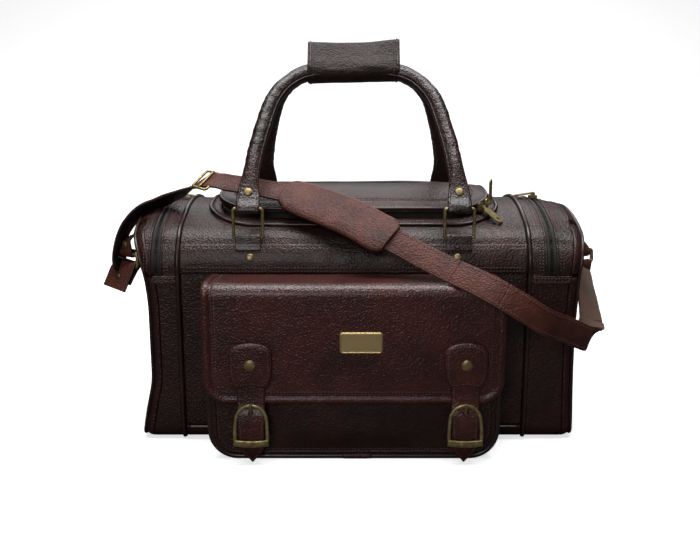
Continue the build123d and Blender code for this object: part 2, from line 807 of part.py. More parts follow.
# The left run rises round the end of the bag, bridges to the front and passes behind the handle
left_run_stations = (
    ((-side_ring_x - 9, -side_ring_y - 2, 194), (-1, 0, 0.1), (0.1, 0, 1)),
    ((-261, -50, 222), (-0.95, 0, 0.3), (0.3, 0, 0.95)),
    ((-247, -50, 251), (-0.75, -0.1, 0.65), (0.65, 0, 0.75)),
    ((-216, -52, 267), (-0.3, -0.3, 0.9), (0.95, -0.05, 0.25)),
    ((-170, -56, 273), (0, -0.5, 0.87), (1, -0.1, 0)),
    ((-130, -61, 273), (0, -0.55, 0.83), (1, -0.1, 0)),
    ((-86, -72, 267), (0, -0.6, 0.8), (1, -0.1, -0.1)),
)
strap_left_run = flat_run(left_run_stations, 22, shoulder_strap_thickness)
save(strap_left_run, "strap_left_run")

pad_stations = (
    ((-84, -75, 268), (0, -0.6, 0.8), (1, -0.1, -0.1)),
    ((-60, -80, 262), (0, -0.65, 0.75), (1, -0.3, -0.25)),
    ((-14, -99, 247), (-0.05, -0.7, 0.7), (1, -0.5, -0.35)),
    ((32, -126, 228), (0, -0.75, 0.65), (1, -0.5, -0.4)),
)
strap_pad = flat_run(pad_stations, 42, 8)
save(strap_pad, "strap_pad")

right_run_stations = (
    ((34, -128, 228), (0, -0.8, 0.6), (1, -0.4, -0.4)),
    ((67, -141, 212), (0, -0.85, 0.5), (1, -0.4, -0.5)),
    ((110, -162, 195), (0, -0.85, 0.5), (1, -0.5, -0.45)),
    ((142, -184, 180), (0.1, -0.95, 0.3), (1, -0.2, -0.6)),
    ((175, -182, 158), (0.2, -0.97, 0.1), (1, 0.3, -0.75)),
    ((215, -158, 130), (0.35, -0.93, 0), (1, 0.5, -0.65)),
    ((248, -135, 112), (0.5, -0.8, 0), (1, 0.7, -0.3)),
)
strap_right_run = flat_run(right_run_stations, 28, shoulder_strap_thickness)
save(strap_right_run, "strap_right_run")

return_stations = (
    ((262, -124, 112), (0.9, -0.4, 0), (0.2, 0.3, 0.95)),
    ((268, -108, 130), (0.95, -0.3, 0), (0, 0.5, 0.85)),
    ((274, -84, 150), (1, -0.1, 0), (0, 0.75, 0.65)),
    ((274, -66, 160), (1, 0, 0), (0, 0.85, 0.5)),
)
strap_return = flat_run(return_stations, 26, shoulder_strap_thickness)
save(strap_return, "strap_return")

with BuildPart() as strap_adjuster:
    strap_face = Plane(origin=(-156, -58, 273), x_dir=(1, -0.1, 0), z_dir=(0, -0.55, 0.83))
    with BuildSketch(strap_face.offset(2.8)):
        RectangleRounded(24, 38, 4)
        RectangleRounded(18, 31, 2.5, mode=Mode.SUBTRACT)
    extrude(amount=3)
save(strap_adjuster, "strap_adjuster")
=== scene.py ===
import math

import bmesh
import bpy
import numpy as np
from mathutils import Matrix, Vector, noise


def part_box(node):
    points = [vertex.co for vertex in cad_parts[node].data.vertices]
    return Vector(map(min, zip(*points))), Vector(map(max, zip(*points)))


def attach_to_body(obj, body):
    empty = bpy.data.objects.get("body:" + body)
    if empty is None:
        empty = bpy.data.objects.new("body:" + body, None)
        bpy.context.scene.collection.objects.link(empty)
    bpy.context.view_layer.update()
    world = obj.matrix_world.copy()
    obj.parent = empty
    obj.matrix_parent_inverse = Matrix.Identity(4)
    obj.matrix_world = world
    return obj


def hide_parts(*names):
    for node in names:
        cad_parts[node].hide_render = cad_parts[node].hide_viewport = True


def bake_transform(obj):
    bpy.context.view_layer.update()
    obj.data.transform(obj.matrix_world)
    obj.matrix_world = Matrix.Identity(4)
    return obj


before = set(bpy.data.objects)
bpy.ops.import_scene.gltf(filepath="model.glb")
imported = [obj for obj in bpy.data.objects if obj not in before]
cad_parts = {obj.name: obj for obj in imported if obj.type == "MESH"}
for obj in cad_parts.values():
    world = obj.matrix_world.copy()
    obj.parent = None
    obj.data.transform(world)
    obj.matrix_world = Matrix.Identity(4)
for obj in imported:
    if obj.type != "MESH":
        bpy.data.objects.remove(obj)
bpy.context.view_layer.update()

MM = 0.001


def box_mm(node):
    """A CAD node's lowest and highest corner in millimetres."""
    low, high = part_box(node)
    return np.array(low) / MM, np.array(high) / MM


# ---------------------------------------------------------------- measures from the frame, in mm
PANEL_LOW, PANEL_HIGH = box_mm("front_panel")
BAND_LOW, BAND_HIGH = box_mm("front_band")
END_HIGH = box_mm("right_end_lower")[1]
LID_HIGH = box_mm("lid_top")[1]
TOP_LOW = box_mm("top_panel")[0]
FLAP_LOW, FLAP_HIGH = box_mm("flap")
POCKET_LOW, POCKET_HIGH = box_mm("pocket_front")
HALF_DEPTH = -PANEL_LOW[1]
PANEL_HALF = PANEL_HIGH[0]
CROWN = END_HIGH[2]
BASE_RADIUS = 14.0
SHOULDER_HALF = 85.0
SHOULDER_RISE = 17.0
CROWN_RADIUS = (SHOULDER_HALF**2 + SHOULDER_RISE**2) / (2 * SHOULDER_RISE)
CROWN_ANGLE = math.asin(SHOULDER_HALF / CROWN_RADIUS)
SHOULDER_RADIUS = (HALF_DEPTH - SHOULDER_HALF) / (1 - math.sin(CROWN_ANGLE))
WALL_TOP = CROWN - SHOULDER_RISE - SHOULDER_RADIUS * math.cos(CROWN_ANGLE)
SEAM_X = PANEL_HALF + 2.3


# ---------------------------------------------------------------- mesh helpers
def attach(piece, body, nodes=()):
    """Let a piece ride a body and stand for CAD nodes."""
    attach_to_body(piece, body)
    if nodes:
        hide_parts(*nodes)
    return piece


def bend(piece, body_a, body_b, start, end):
    """Bake a soft piece's placement into its mesh, leaving it on no body; the two bodies and points are not
    used.
    """
    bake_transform(piece)


def facing(direction, count):
    """The same facing direction for every point of a line."""
    return np.tile(np.array(direction, float), (count, 1))


def to_front(count):
    """Facing directions of a line on a front face."""
    return facing((0, -1, 0), count)


def new_mesh(name, verts, faces, material, smooth=True):
    """Object from vertices in millimetres and faces, welded and with outward normals."""
    mesh = bpy.data.meshes.new(name)
    mesh.from_pydata([tuple(v) for v in np.asarray(verts, float) * MM], [], faces)
    bm = bmesh.new()
    bm.from_mesh(mesh)
    bmesh.ops.remove_doubles(bm, verts=bm.verts, dist=1e-6)
    bmesh.ops.dissolve_degenerate(bm, edges=bm.edges, dist=1e-7)
    bmesh.ops.recalc_face_normals(bm, faces=bm.faces)
    bm.to_mesh(mesh)
    bm.free()
    mesh.polygons.foreach_set("use_smooth", [smooth] * len(mesh.polygons))
    obj = bpy.data.objects.new(name, mesh)
    bpy.context.scene.collection.objects.link(obj)
    mesh.materials.append(material)
    return obj


def grid_faces(rows, columns, start=0, wrap=False):
    """Quads of a grid of vertices stored row by row."""
    faces = []
    last = columns if wrap else columns - 1
    for i in range(rows - 1):
        for j in range(last):
            k = (j + 1) % columns
            a = start + i * columns
            faces.append((a + j, a + k, a + columns + k, a + columns + j))
    return faces


def capped_faces(rows, columns):
    """Faces of a closed tube of vertices stored ring by ring, with a face over each end."""
    faces = grid_faces(rows, columns, 0, wrap=True)
    faces.append(tuple(range(columns)))
    faces.append(tuple((rows - 1) * columns + k for k in reversed(range(columns))))
    return faces


def grid_normals(points):
    """Unit normals of a grid of points."""
    du = np.gradient(points, axis=0)
    dv = np.gradient(points, axis=1)
    n = np.cross(du, dv)
    length = np.linalg.norm(n, axis=2, keepdims=True)
    return n / np.maximum(length, 1e-9)


def sheet(name, points, normals, thickness, material, slot, round_edges=True, wrap=False):
    """Leather sheet: an outer grid of points, an inner one below it, and rounded open edges."""
    rows, columns = points.shape[:2]
    half = np.full((rows, columns), thickness / 2)
    middle = points - normals * thickness / 2
    half[0] = half[-1] = 0.0 if round_edges else thickness / 2
    if not wrap:
        half[:, 0] = half[:, -1] = half[0, 0]
    outer = (middle + normals * half[..., None]).reshape(-1, 3)
    inner = (middle - normals * half[..., None]).reshape(-1, 3)
    count = rows * columns
    faces = grid_faces(rows, columns, 0, wrap) + grid_faces(rows, columns, count, wrap)
    if not round_edges:
        last = columns if wrap else columns - 1
        for i, row in ((0, 0), (1, rows - 1)):
            for j in range(last):
                k = (j + 1) % columns
                a = row * columns
                faces.append((a + j, a + k, count + a + k, count + a + j))
        if not wrap:
            for j in (0, columns - 1):
                for i in range(rows - 1):
                    a = i * columns + j
                    faces.append((a, a + columns, count + a + columns, count + a))
    return new_mesh(name, np.vstack([outer, inner]), faces, material)


def eased(count, edge=0.02):
    """Parameters 0 to 1 with extra lines close to both ends, for a crisp rounded edge."""
    inside = np.linspace(edge, 1 - edge, count)
    return np.concatenate([[0, edge * 0.35], inside, [1 - edge * 0.35, 1]])


def resample(points, spacing):
    """Points about spacing apart along a line of points."""
    points = np.asarray(points, float)
    steps = np.linalg.norm(np.diff(points, axis=0), axis=1)
    along = np.concatenate([[0], np.cumsum(steps)])
    count = max(2, int(round(along[-1] / spacing)) + 1)
    at = np.linspace(0, along[-1], count)
    return np.stack([np.interp(at, along, points[:, k]) for k in range(points.shape[1])], axis=1)


def smooth_line(points, count):
    """Catmull-Rom curve through a few points (or rows of values)."""
    points = np.asarray(points, float)
    padded = np.vstack([2 * points[0] - points[1], points, 2 * points[-1] - points[-2]])
    result = []
    for t in np.linspace(0, len(points) - 1, count):
        i = min(int(t), len(points) - 2)
        f = t - i
        a, b, c, d = padded[i : i + 4]
        result.append(
            0.5 * (2 * b + (c - a) * f + (2 * a - 5 * b + 4 * c - d) * f**2 + (3 * b - a - 3 * c + d) * f**3)
        )
    return np.array(result)


def line_frames(points, facing=None, closed=False):
    """Tangent, side and facing directions along a line; facing may be given for every point."""
    points = np.asarray(points, float)
    if closed:
        tangent = np.roll(points, -1, axis=0) - np.roll(points, 1, axis=0)
    else:
        tangent = np.gradient(points, axis=0)
    tangent /= np.maximum(np.linalg.norm(tangent, axis=1, keepdims=True), 1e-9)
    if facing is None:
        start = np.array([0, 0, 1.0]) if abs(tangent[0][2]) < 0.9 else np.array([0, 1.0, 0])
        facing = []
        for t in tangent:
            start = start - t * start.dot(t)
            start /= np.linalg.norm(start)
            facing.append(start)
    facing = np.asarray(facing, float)
    facing = facing - tangent * np.sum(facing * tangent, axis=1, keepdims=True)
    facing /= np.maximum(np.linalg.norm(facing, axis=1, keepdims=True), 1e-9)
    return tangent, np.cross(tangent, facing), facing


def sweep(name, points, section, material, facing=None, closed=False, scale=None):
    """Closed section of (side, facing) offsets swept along a line, with capped ends."""
    points = np.asarray(points, float)
    _, side, up = line_frames(points, facing, closed)
    section = np.asarray(section, float)
    sections = np.repeat(section[None], len(points), axis=0)
    if scale is not None:
        sections = sections * np.asarray(scale, float)[:, None, :]
    rings = points[:, None] + sections[..., :1] * side[:, None] + sections[..., 1:] * up[:, None]
    rows, columns = rings.shape[:2]
    verts = rings.reshape(-1, 3)
    faces = grid_faces(rows, columns, 0, wrap=True)
    if closed:
        a = (rows - 1) * columns
        faces += [(a + j, a + (j + 1) % columns, (j + 1) % columns, j) for j in range(columns)]
    else:
        caps = np.vstack([rings[0], rings[-1], rings[0].mean(axis=0), rings[-1].mean(axis=0)])
        first = rows * columns
        verts = np.vstack([verts, caps])
        for j in range(columns):
            k = (j + 1) % columns
            faces.append((first + 2 * columns, first + k, first + j))
            faces.append((first + 2 * columns + 1, first + columns + j, first + columns + k))
    return new_mesh(name, verts, faces, material)


def round_section(radius, sides=14, flat=1.0):
    """Circle, or a flattened circle, as section offsets."""
    angle = np.linspace(0, 2 * np.pi, sides, endpoint=False)
    return np.stack([radius * np.cos(angle), radius * flat * np.sin(angle)], axis=1)


def rounded_box_section(width, thickness, radius, steps=3):
    """Rounded rectangle as section offsets."""
    half_w, half_t = width / 2 - radius, thickness / 2 - radius
    result = []
    for k, (sx, sy) in enumerate(((1, 1), (-1, 1), (-1, -1), (1, -1))):
        for a in np.linspace(0, np.pi / 2, steps + 1):
            turn = a + k * np.pi / 2
            result.append((sx * half_w + radius * math.cos(turn), sy * half_t + radius * math.sin(turn)))
    return np.array(result)


def rounded_loop(half_x, half_y, radius, per_corner=10, per_side=24):
    """Closed rounded rectangle with the same number of points whatever its size."""
    loop = []
    corners = ((1, 1), (-1, 1), (-1, -1), (1, -1))
    for k, (sx, sy) in enumerate(corners):
        cx, cy = sx * (half_x - radius), sy * (half_y - radius)
        for a in np.linspace(0, np.pi / 2, per_corner, endpoint=False):
            turn = a + k * np.pi / 2
            loop.append((cx + radius * math.cos(turn), cy + radius * math.sin(turn)))
        end_turn = (k + 1) * np.pi / 2
        start = np.array((cx + radius * math.cos(end_turn), cy + radius * math.sin(end_turn)))
        nx, ny = corners[(k + 1) % 4]
        stop_x = nx * (half_x - radius) + radius * math.cos(end_turn)
        stop = np.array((stop_x, ny * (half_y - radius) + radius * math.sin(end_turn)))
        for f in np.linspace(0, 1, per_side, endpoint=False):
            loop.append(tuple(start + (stop - start) * f))
    return np.array(loop)


def ripple(x, y, z, size, seed=0.0):
    """Smooth noise between about -1 and 1 at a point, with features of a given size in millimetres."""
    return noise.noise(Vector((x / size + seed, y / size - seed, z / size + 2 * seed)))


def smoothstep(value, low, high):
    """Smooth 0 to 1 ramp between low and high."""
    t = np.clip((value - low) / (high - low), 0, 1)
    return t * t * (3 - 2 * t)


# ---------------------------------------------------------------- stitches
stitch_rows = {}
strap_spans = {}


def stitch(body, points, normals, material_key="thread", spacing=3.4, lift=0.15):
    """Queue a row of stitches along points on a surface; one mesh per body is made at the end."""
    line = resample(np.hstack([np.asarray(points, float), np.asarray(normals, float)]), spacing)
    stitch_rows.setdefault((body, material_key), []).append((line, spacing, lift))


def build_stitches(materials):
    """One mesh per body of short rounded threads."""
    ring = np.linspace(0, 2 * np.pi, 6, endpoint=False)
    profile = ((-0.5, 0.0), (-0.34, 0.8), (0.0, 1.0), (0.34, 0.8), (0.5, 0.0))
    for (body, key), rows in stitch_rows.items():
        verts, faces = [], []
        for line, spacing, lift in rows:
            length, radius = spacing * 0.68, 0.5
            for a, b in zip(line[:-1], line[1:]):
                along = (b[:3] - a[:3]) / max(np.linalg.norm(b[:3] - a[:3]), 1e-9)
                up = (a[3:] + b[3:]) / 2
                up = up - along * up.dot(along)
                up /= max(np.linalg.norm(up), 1e-9)
                side = np.cross(along, up)
                middle = (a[:3] + b[:3]) / 2 + up * lift
                start = len(verts)
                for at, wide in profile:
                    for turn in ring:
                        offset = side * math.cos(turn) + up * math.sin(turn) * 0.7
                        verts.append(middle + along * at * length + offset * radius * wide)
                for i in range(len(profile) - 1):
                    for j in range(6):
                        k = (j + 1) % 6
                        r = start + i * 6
                        faces.append((r + j, r + k, r + 6 + k, r + 6 + j))
        obj = new_mesh(f"stitching_{body}", verts, faces, materials[key])
        if body in strap_spans:
            bend(obj, *strap_spans[body])
        else:
            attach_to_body(obj, body)


# ---------------------------------------------------------------- materials
def shader(name):
    """New node material and its principled shader."""
    material = bpy.data.materials.new(name)
    material.use_nodes = True
    return material, material.node_tree, material.node_tree.nodes["Principled BSDF"]


def node(tree, kind, **values):
    """Shader node with its inputs or settings filled in."""
    made = tree.nodes.new(kind)
    for key, value in values.items():
        if key in made.inputs:
            made.inputs[key].default_value = value
        else:
            setattr(made, key, value)
    return made


def ramp(tree, source, stops):
    """Colour ramp fed by a value, with (position, colour) stops."""
    made = tree.nodes.new("ShaderNodeValToRGB")
    elements = made.color_ramp.elements
    while len(elements) < len(stops):
        elements.new(0.5)
    for element, (position, colour) in zip(elements, stops):
        element.position = position
        element.color = (*colour, 1)
    tree.links.new(source, made.inputs["Fac"])
    return made.outputs["Color"]


def place_textures(tree, *textures):
    """Feed textures the object's own coordinates."""
    place = node(tree, "ShaderNodeTexCoord").outputs["Object"]
    for texture in textures:
        tree.links.new(place, texture.inputs["Vector"])


def leather(name, dark, base, worn, grain=620.0, rough=0.34, bump=0.75, crease=0.13, gloss=0.5, coat=0.2):
    """Pebbled leather: cell grain in bump, fold noise in roughness and a soft bump, mottled dye, paler rub
    marks along edges.
    """
    material, tree, bsdf = shader(name)
    links = tree.links
    cells = node(tree, "ShaderNodeTexVoronoi", Scale=grain, feature="SMOOTH_F1", Smoothness=0.6)
    fine = node(tree, "ShaderNodeTexNoise", Scale=grain * 1.7, Detail=3.0)
    mottle = node(tree, "ShaderNodeTexNoise", Scale=26.0, Detail=5.0, Roughness=0.6)
    folds = node(tree, "ShaderNodeTexNoise", Scale=75.0, Detail=4.0, Roughness=0.55, Distortion=1.4)
    place_textures(tree, cells, fine, mottle, folds)
    dye = ramp(tree, mottle.outputs["Fac"], ((0.3, dark), (0.52, base), (0.78, worn)))
    edge = node(tree, "ShaderNodeNewGeometry")
    rub = node(tree, "ShaderNodeMapRange", **{"From Min": 0.52, "From Max": 0.62})
    links.new(edge.outputs["Pointiness"], rub.inputs["Value"])
    worn_mix = node(tree, "ShaderNodeMixRGB")
    worn_mix.inputs["Color2"].default_value = (*[min(1, c * 1.5) for c in worn], 1)
    rub_amount = node(tree, "ShaderNodeMath", operation="MULTIPLY")
    rub_amount.inputs[1].default_value = 0.45
    links.new(rub.outputs["Result"], rub_amount.inputs[0])
    links.new(rub_amount.outputs[0], worn_mix.inputs["Fac"])
    links.new(dye, worn_mix.inputs["Color1"])
    links.new(worn_mix.outputs["Color"], bsdf.inputs["Base Color"])
    sheen = node(tree, "ShaderNodeMapRange", **{"To Min": rough - 0.07, "To Max": rough + 0.12})
    links.new(folds.outputs["Fac"], sheen.inputs["Value"])
    links.new(sheen.outputs["Result"], bsdf.inputs["Roughness"])
    heights = node(tree, "ShaderNodeMath", operation="MULTIPLY_ADD")
    heights.inputs[1].default_value = 0.35
    links.new(fine.outputs["Fac"], heights.inputs[0])
    links.new(cells.outputs["Distance"], heights.inputs[2])
    grain_bump = node(tree, "ShaderNodeBump", Strength=bump, Distance=0.0009)
    fold_bump = node(tree, "ShaderNodeBump", Strength=crease, Distance=0.002)
    links.new(heights.outputs[0], grain_bump.inputs["Height"])
    links.new(folds.outputs["Fac"], fold_bump.inputs["Height"])
    links.new(fold_bump.outputs["Normal"], grain_bump.inputs["Normal"])
    links.new(grain_bump.outputs["Normal"], bsdf.inputs["Normal"])
    bsdf.inputs["Specular IOR Level"].default_value = gloss
    bsdf.inputs["Coat Weight"].default_value = coat
    bsdf.inputs["Coat Roughness"].default_value = 0.22
    return material


def metal(name, low, high, rough=0.28, tarnish=(0.05, 0.035, 0.015), amount=0.35):
    """Aged metal: polished high spots, darker tarnish in patches and fine scratches."""
    material, tree, bsdf = shader(name)
    links = tree.links
    patches = node(tree, "ShaderNodeTexNoise", Scale=180.0, Detail=6.0, Roughness=0.65)
    scratches = node(tree, "ShaderNodeTexNoise", Scale=900.0, Detail=2.0)
    place_textures(tree, patches, scratches)
    dull = tuple(l * (1 - amount) + t * amount for l, t in zip(low, tarnish))
    colour = ramp(tree, patches.outputs["Fac"], ((0.34, dull), (0.5, low), (0.7, high)))
    links.new(colour, bsdf.inputs["Base Color"])
    shine = node(tree, "ShaderNodeMapRange", **{"To Min": rough + 0.2, "To Max": rough - 0.1})
    links.new(patches.outputs["Fac"], shine.inputs["Value"])
    links.new(shine.outputs["Result"], bsdf.inputs["Roughness"])
    marks = node(tree, "ShaderNodeBump", Strength=0.18, Distance=0.0003)
    links.new(scratches.outputs["Fac"], marks.inputs["Height"])
    links.new(marks.outputs["Normal"], bsdf.inputs["Normal"])
    bsdf.inputs["Metallic"].default_value = 0.72
    return material


def woven(name, dark, light, threads=1500.0, rough=0.8):
    """Woven cloth: crossed threads in bump and colour."""
    material, tree, bsdf = shader(name)
    links = tree.links
    bands = []
    for direction in ("X", "Z"):
        wave = node(tree, "ShaderNodeTexWave", Scale=threads / 5, Distortion=0.6, bands_direction=direction)
        place_textures(tree, wave)
        bands.append(wave.outputs["Fac"])
    weave = node(tree, "ShaderNodeMath", operation="MAXIMUM")
    links.new(bands[0], weave.inputs[0])
    links.new(bands[1], weave.inputs[1])
    links.new(ramp(tree, weave.outputs[0], ((0.2, dark), (0.9, light))), bsdf.inputs["Base Color"])
    relief = node(tree, "ShaderNodeBump", Strength=0.5, Distance=0.0004)
    links.new(weave.outputs[0], relief.inputs["Height"])
    links.new(relief.outputs["Normal"], bsdf.inputs["Normal"])
    bsdf.inputs["Roughness"].default_value = rough
    bsdf.inputs["Sheen Weight"].default_value = 0.25
    return material


def flesh(name):
    """Suede-like flesh side of leather: matt, brown, with a fibrous nap."""
    material, tree, bsdf = shader(name)
    links = tree.links
    nap = node(tree, "ShaderNodeTexNoise", Scale=420.0, Detail=6.0, Roughness=0.7)
    shade = node(tree, "ShaderNodeTexNoise", Scale=34.0, Detail=4.0)
    place_textures(tree, nap, shade)
    stops = ((0.3, (0.055, 0.024, 0.014)), (0.55, (0.1, 0.045, 0.025)), (0.75, (0.15, 0.075, 0.045)))
    links.new(ramp(tree, shade.outputs["Fac"], stops), bsdf.inputs["Base Color"])
    relief = node(tree, "ShaderNodeBump", Strength=0.45, Distance=0.0006)
    links.new(nap.outputs["Fac"], relief.inputs["Height"])
    links.new(relief.outputs["Normal"], bsdf.inputs["Normal"])
    bsdf.inputs["Roughness"].default_value = 0.72
    bsdf.inputs["Sheen Weight"].default_value = 0.3
    return material


MATERIALS = {
    "body": leather("body_leather", (0.011, 0.0027, 0.0021), (0.025, 0.0056, 0.0040), (0.052, 0.012, 0.0085),
                    grain=540.0, rough=0.38, gloss=0.42, coat=0.12),
    "piping": leather("piping_leather", (0.010, 0.004, 0.004), (0.017, 0.006, 0.005), (0.05, 0.022, 0.016),
                      grain=900.0, rough=0.3, bump=0.15),
    "flap": leather("flap_leather", (0.030, 0.0048, 0.0034), (0.060, 0.0098, 0.0066), (0.100, 0.018, 0.012),
                    grain=560.0, rough=0.29, coat=0.3),
    "handle": leather("handle_leather", (0.012, 0.005, 0.0045), (0.026, 0.0095, 0.008),
                      (0.052, 0.019, 0.015), grain=520.0, rough=0.3, crease=0.5, coat=0.35),
    "grip": leather("grip_leather", (0.012, 0.005, 0.0045), (0.024, 0.009, 0.0075), (0.048, 0.018, 0.014),
                    grain=520.0, rough=0.5, crease=0.6, gloss=0.35, coat=0.05),
    "strap": leather("strap_leather", (0.046, 0.012, 0.009), (0.102, 0.029, 0.020), (0.170, 0.056, 0.038),
                     grain=520.0, rough=0.46, crease=0.45, gloss=0.28, coat=0.03),
    # near-black leather for under layers; on the left strap run and as the closure strap holes it is painted
    # shade
    "dark": leather("dark_leather", (0.003, 0.0025, 0.002), (0.006, 0.004, 0.0035), (0.012, 0.008, 0.007),
                    grain=700.0, rough=0.5, bump=0.2),
    "flesh": flesh("strap_flesh"),
    "plate": metal("plate_brass", (0.66, 0.50, 0.23), (0.72, 0.56, 0.28), rough=0.34, amount=0.0),
    "brass": metal("antique_brass", (0.30, 0.23, 0.10), (0.56, 0.45, 0.23), rough=0.36),
    "dark_brass": metal("dark_brass", (0.14, 0.11, 0.06), (0.36, 0.29, 0.17), rough=0.32),
    "steel": metal("steel_snap", (0.35, 0.35, 0.35), (0.6, 0.6, 0.6)),
    "tape": woven("zip_tape", (0.004, 0.0035, 0.003), (0.014, 0.012, 0.010)),
    "teeth": metal("zip_teeth", (0.022, 0.020, 0.018), (0.05, 0.046, 0.04), rough=0.42, amount=0.2),
    "lining": woven("lining_fabric", (0.012, 0.010, 0.009), (0.035, 0.03, 0.026), threads=1100.0),
    "board": woven("stiff_board", (0.03, 0.026, 0.02), (0.06, 0.05, 0.04), threads=600.0, rough=0.9),
    "thread": woven("thread", (0.025, 0.012, 0.010), (0.11, 0.055, 0.042), threads=2500.0, rough=0.5),
}
CAD_MATERIALS = {
    "brass": ("front_rings", "rear_rings", "band_rivets", "nameplate", "snap_studs", "left_prong",
              "right_prong", "strap_adjuster", "left_strap_ring", "right_strap_ring",
              "front_handle_rivets", "rear_handle_rivets", "lid_front_slider", "lid_front_pull",
              "lid_end_slider", "lid_end_pull", "left_end_slider", "left_end_pull", "right_end_slider",
              "right_end_pull", "pocket_slider", "pocket_pull"),
    "steel": ("snap_sockets",),
    "lining": ("main_lining", "compartment_dividers"),
    "board": ("base_board",),
}
for key, names in CAD_MATERIALS.items():
    for name in names:
        for material_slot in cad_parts[name].material_slots:
            material_slot.material = MATERIALS[key]


# ---------------------------------------------------------------- the body's cross-section
CORNER_LENGTH = BASE_RADIUS * math.pi / 2
S_CORNER = HALF_DEPTH - BASE_RADIUS
S_WALL = S_CORNER + CORNER_LENGTH
S_SHOULDER = S_WALL + WALL_TOP - BASE_RADIUS
S_CROWN = S_SHOULDER + SHOULDER_RADIUS * (math.pi / 2 - CROWN_ANGLE)
S_TOP = S_CROWN + CROWN_RADIUS * CROWN_ANGLE


def outline(s):
    """Depth, height and outward normal on the cross-section at a run s from the bottom's middle.

    Positive s goes up the front, negative s up the rear; both reach the crown's middle at S_TOP."""
    front = np.where(s >= 0, -1.0, 1.0)
    s = np.clip(np.abs(s), 0, S_TOP)
    y, z = s * 1.0, np.zeros_like(s)
    ny, nz = np.zeros_like(s), -np.ones_like(s)
    corner = s > S_CORNER
    a = np.clip((s - S_CORNER) / BASE_RADIUS, 0, math.pi / 2)
    y = np.where(corner, S_CORNER + BASE_RADIUS * np.sin(a), y)
    z = np.where(corner, BASE_RADIUS * (1 - np.cos(a)), z)
    ny, nz = np.where(corner, np.sin(a), ny), np.where(corner, -np.cos(a), nz)
    wall = s > S_WALL
    y, z = np.where(wall, HALF_DEPTH, y), np.where(wall, BASE_RADIUS + s - S_WALL, z)
    shoulder = s > S_SHOULDER
    a = np.clip((s - S_SHOULDER) / SHOULDER_RADIUS, 0, math.pi / 2 - CROWN_ANGLE)
    y = np.where(shoulder, HALF_DEPTH - SHOULDER_RADIUS * (1 - np.cos(a)), y)
    z = np.where(shoulder, WALL_TOP + SHOULDER_RADIUS * np.sin(a), z)
    ny, nz = np.where(shoulder, np.cos(a), ny), np.where(shoulder, np.sin(a), nz)
    crown = s > S_CROWN
    a = CROWN_ANGLE - (s - S_CROWN) / CROWN_RADIUS
    y = np.where(crown, CROWN_RADIUS * np.sin(a), y)
    z = np.where(crown, CROWN - CROWN_RADIUS * (1 - np.cos(a)), z)
    ny, nz = np.where(crown, np.sin(a), ny), np.where(crown, np.cos(a), nz)
    return y * front, z, ny * front, nz


def run_at_height(z):
    """Run s on the front wall or shoulder at a height."""
    if z <= WALL_TOP:
        return S_WALL + z - BASE_RADIUS
    return S_SHOULDER + SHOULDER_RADIUS * math.asin((z - WALL_TOP) / SHOULDER_RADIUS)


def crown_at(y):
    """Crown height at a depth y inside the shoulders."""
    return CROWN - CROWN_RADIUS + math.sqrt(CROWN_RADIUS**2 - y**2)


SEAM_RUNS = (run_at_height(BAND_LOW[2]), run_at_height(BAND_HIGH[2] + 0.1))


def relief(x, s):
    """Height of the soft leather over the pattern: slack swells, folds and pinched seams."""
    y, z, _, _ = (float(v) for v in outline(np.float64(s)))
    slack = 1.0 - math.exp(-abs(abs(x) - SEAM_X) / 14.0)
    low = 1.5 * ripple(x, y, z, 70, 3.1) + 0.7 * ripple(x * 1.8, y, z, 30, 8.7)
    gathers = 1.1 * ripple(x, z * 0.28, 0, 13, 5.0) * math.exp(-abs(abs(x) - SEAM_X) / 22.0)
    pinch = 0.0
    if s > 0:
        pinch = -1.0 * sum(math.exp(-(((s - run) / 5.0) ** 2)) for run in SEAM_RUNS)
    base = smoothstep(abs(s), S_WALL - 8, S_WALL + 30)
    calm = 1.0
    if z > CROWN - SHOULDER_RISE - 4:
        calm = float(smoothstep(max(abs(x) - LID_HIGH[0], abs(y) - LID_HIGH[1]), 8, 34))
    return (low * slack + gathers * calm + pinch) * float(base) * 0.8 * (0.15 + 0.85 * calm)


# ---------------------------------------------------------------- body panels
END_EDGE = 14.0    # radius of the rounded rim round each end wall
END_FALL = 6.0     # how far the crown drops at the ends
FALL_START, FALL_END = 196, 246
END_SEAM = box_mm("right_end_cap")[0][2]
ZIP_LOW, ZIP_HIGH = box_mm("right_end_zip")
ZIP_X = (ZIP_LOW[0] + ZIP_HIGH[0]) / 2
ZIP_HALF = (ZIP_HIGH[0] - ZIP_LOW[0]) / 2
SHEET = 2.2


# Half length of the empty, sunken end walls at a few heights, left and right
WALLS = {
    -1: ((0, 232), (30, 227), (65, 219), (150, 219), (180, 222), (205, 229), (235, 238)),
    1: ((0, 240), (60, 238), (120, 237), (180, 240), (210, 244), (235, 247)),
}


def wall_x(side, z):
    """Distance of an end wall from the middle."""
    heights, halves = zip(*WALLS[side])
    spread = np.linspace(-9, 9, 7)
    return float(np.mean(np.interp(z + spread, heights, halves)))


def soften(p):
    """Settle a point of the body: the crown falls a little towards the ends."""
    x, y, z = p
    fall = END_FALL * float(smoothstep(abs(x), FALL_START, FALL_END)) * float(smoothstep(z, 190, CROWN))
    return (x, y, z - fall)


def on_body(x, s, lift=0.0, relief_scale=1.0):
    """Point and normal on the soft body at x and run s."""
    y, z, ny, nz = (float(v) for v in outline(np.float64(s)))
    up = lift + (relief(x, s) * relief_scale if relief_scale else 0.0)
    return soften((x, y + ny * up, z + nz * up)), (0.0, ny, nz)


def body_grid(rows, columns, place, lift=0.0, relief_scale=1.0):
    """Grid on the body; place gives (x, s) for each row and column parameter."""
    points, normals = np.zeros((len(rows), len(columns), 3)), np.zeros((len(rows), len(columns), 3))
    for i, r in enumerate(rows):
        for j, c in enumerate(columns):
            x, s = place(r, c)
            points[i, j], normals[i, j] = on_body(x, s, lift, relief_scale)
    return points, normals


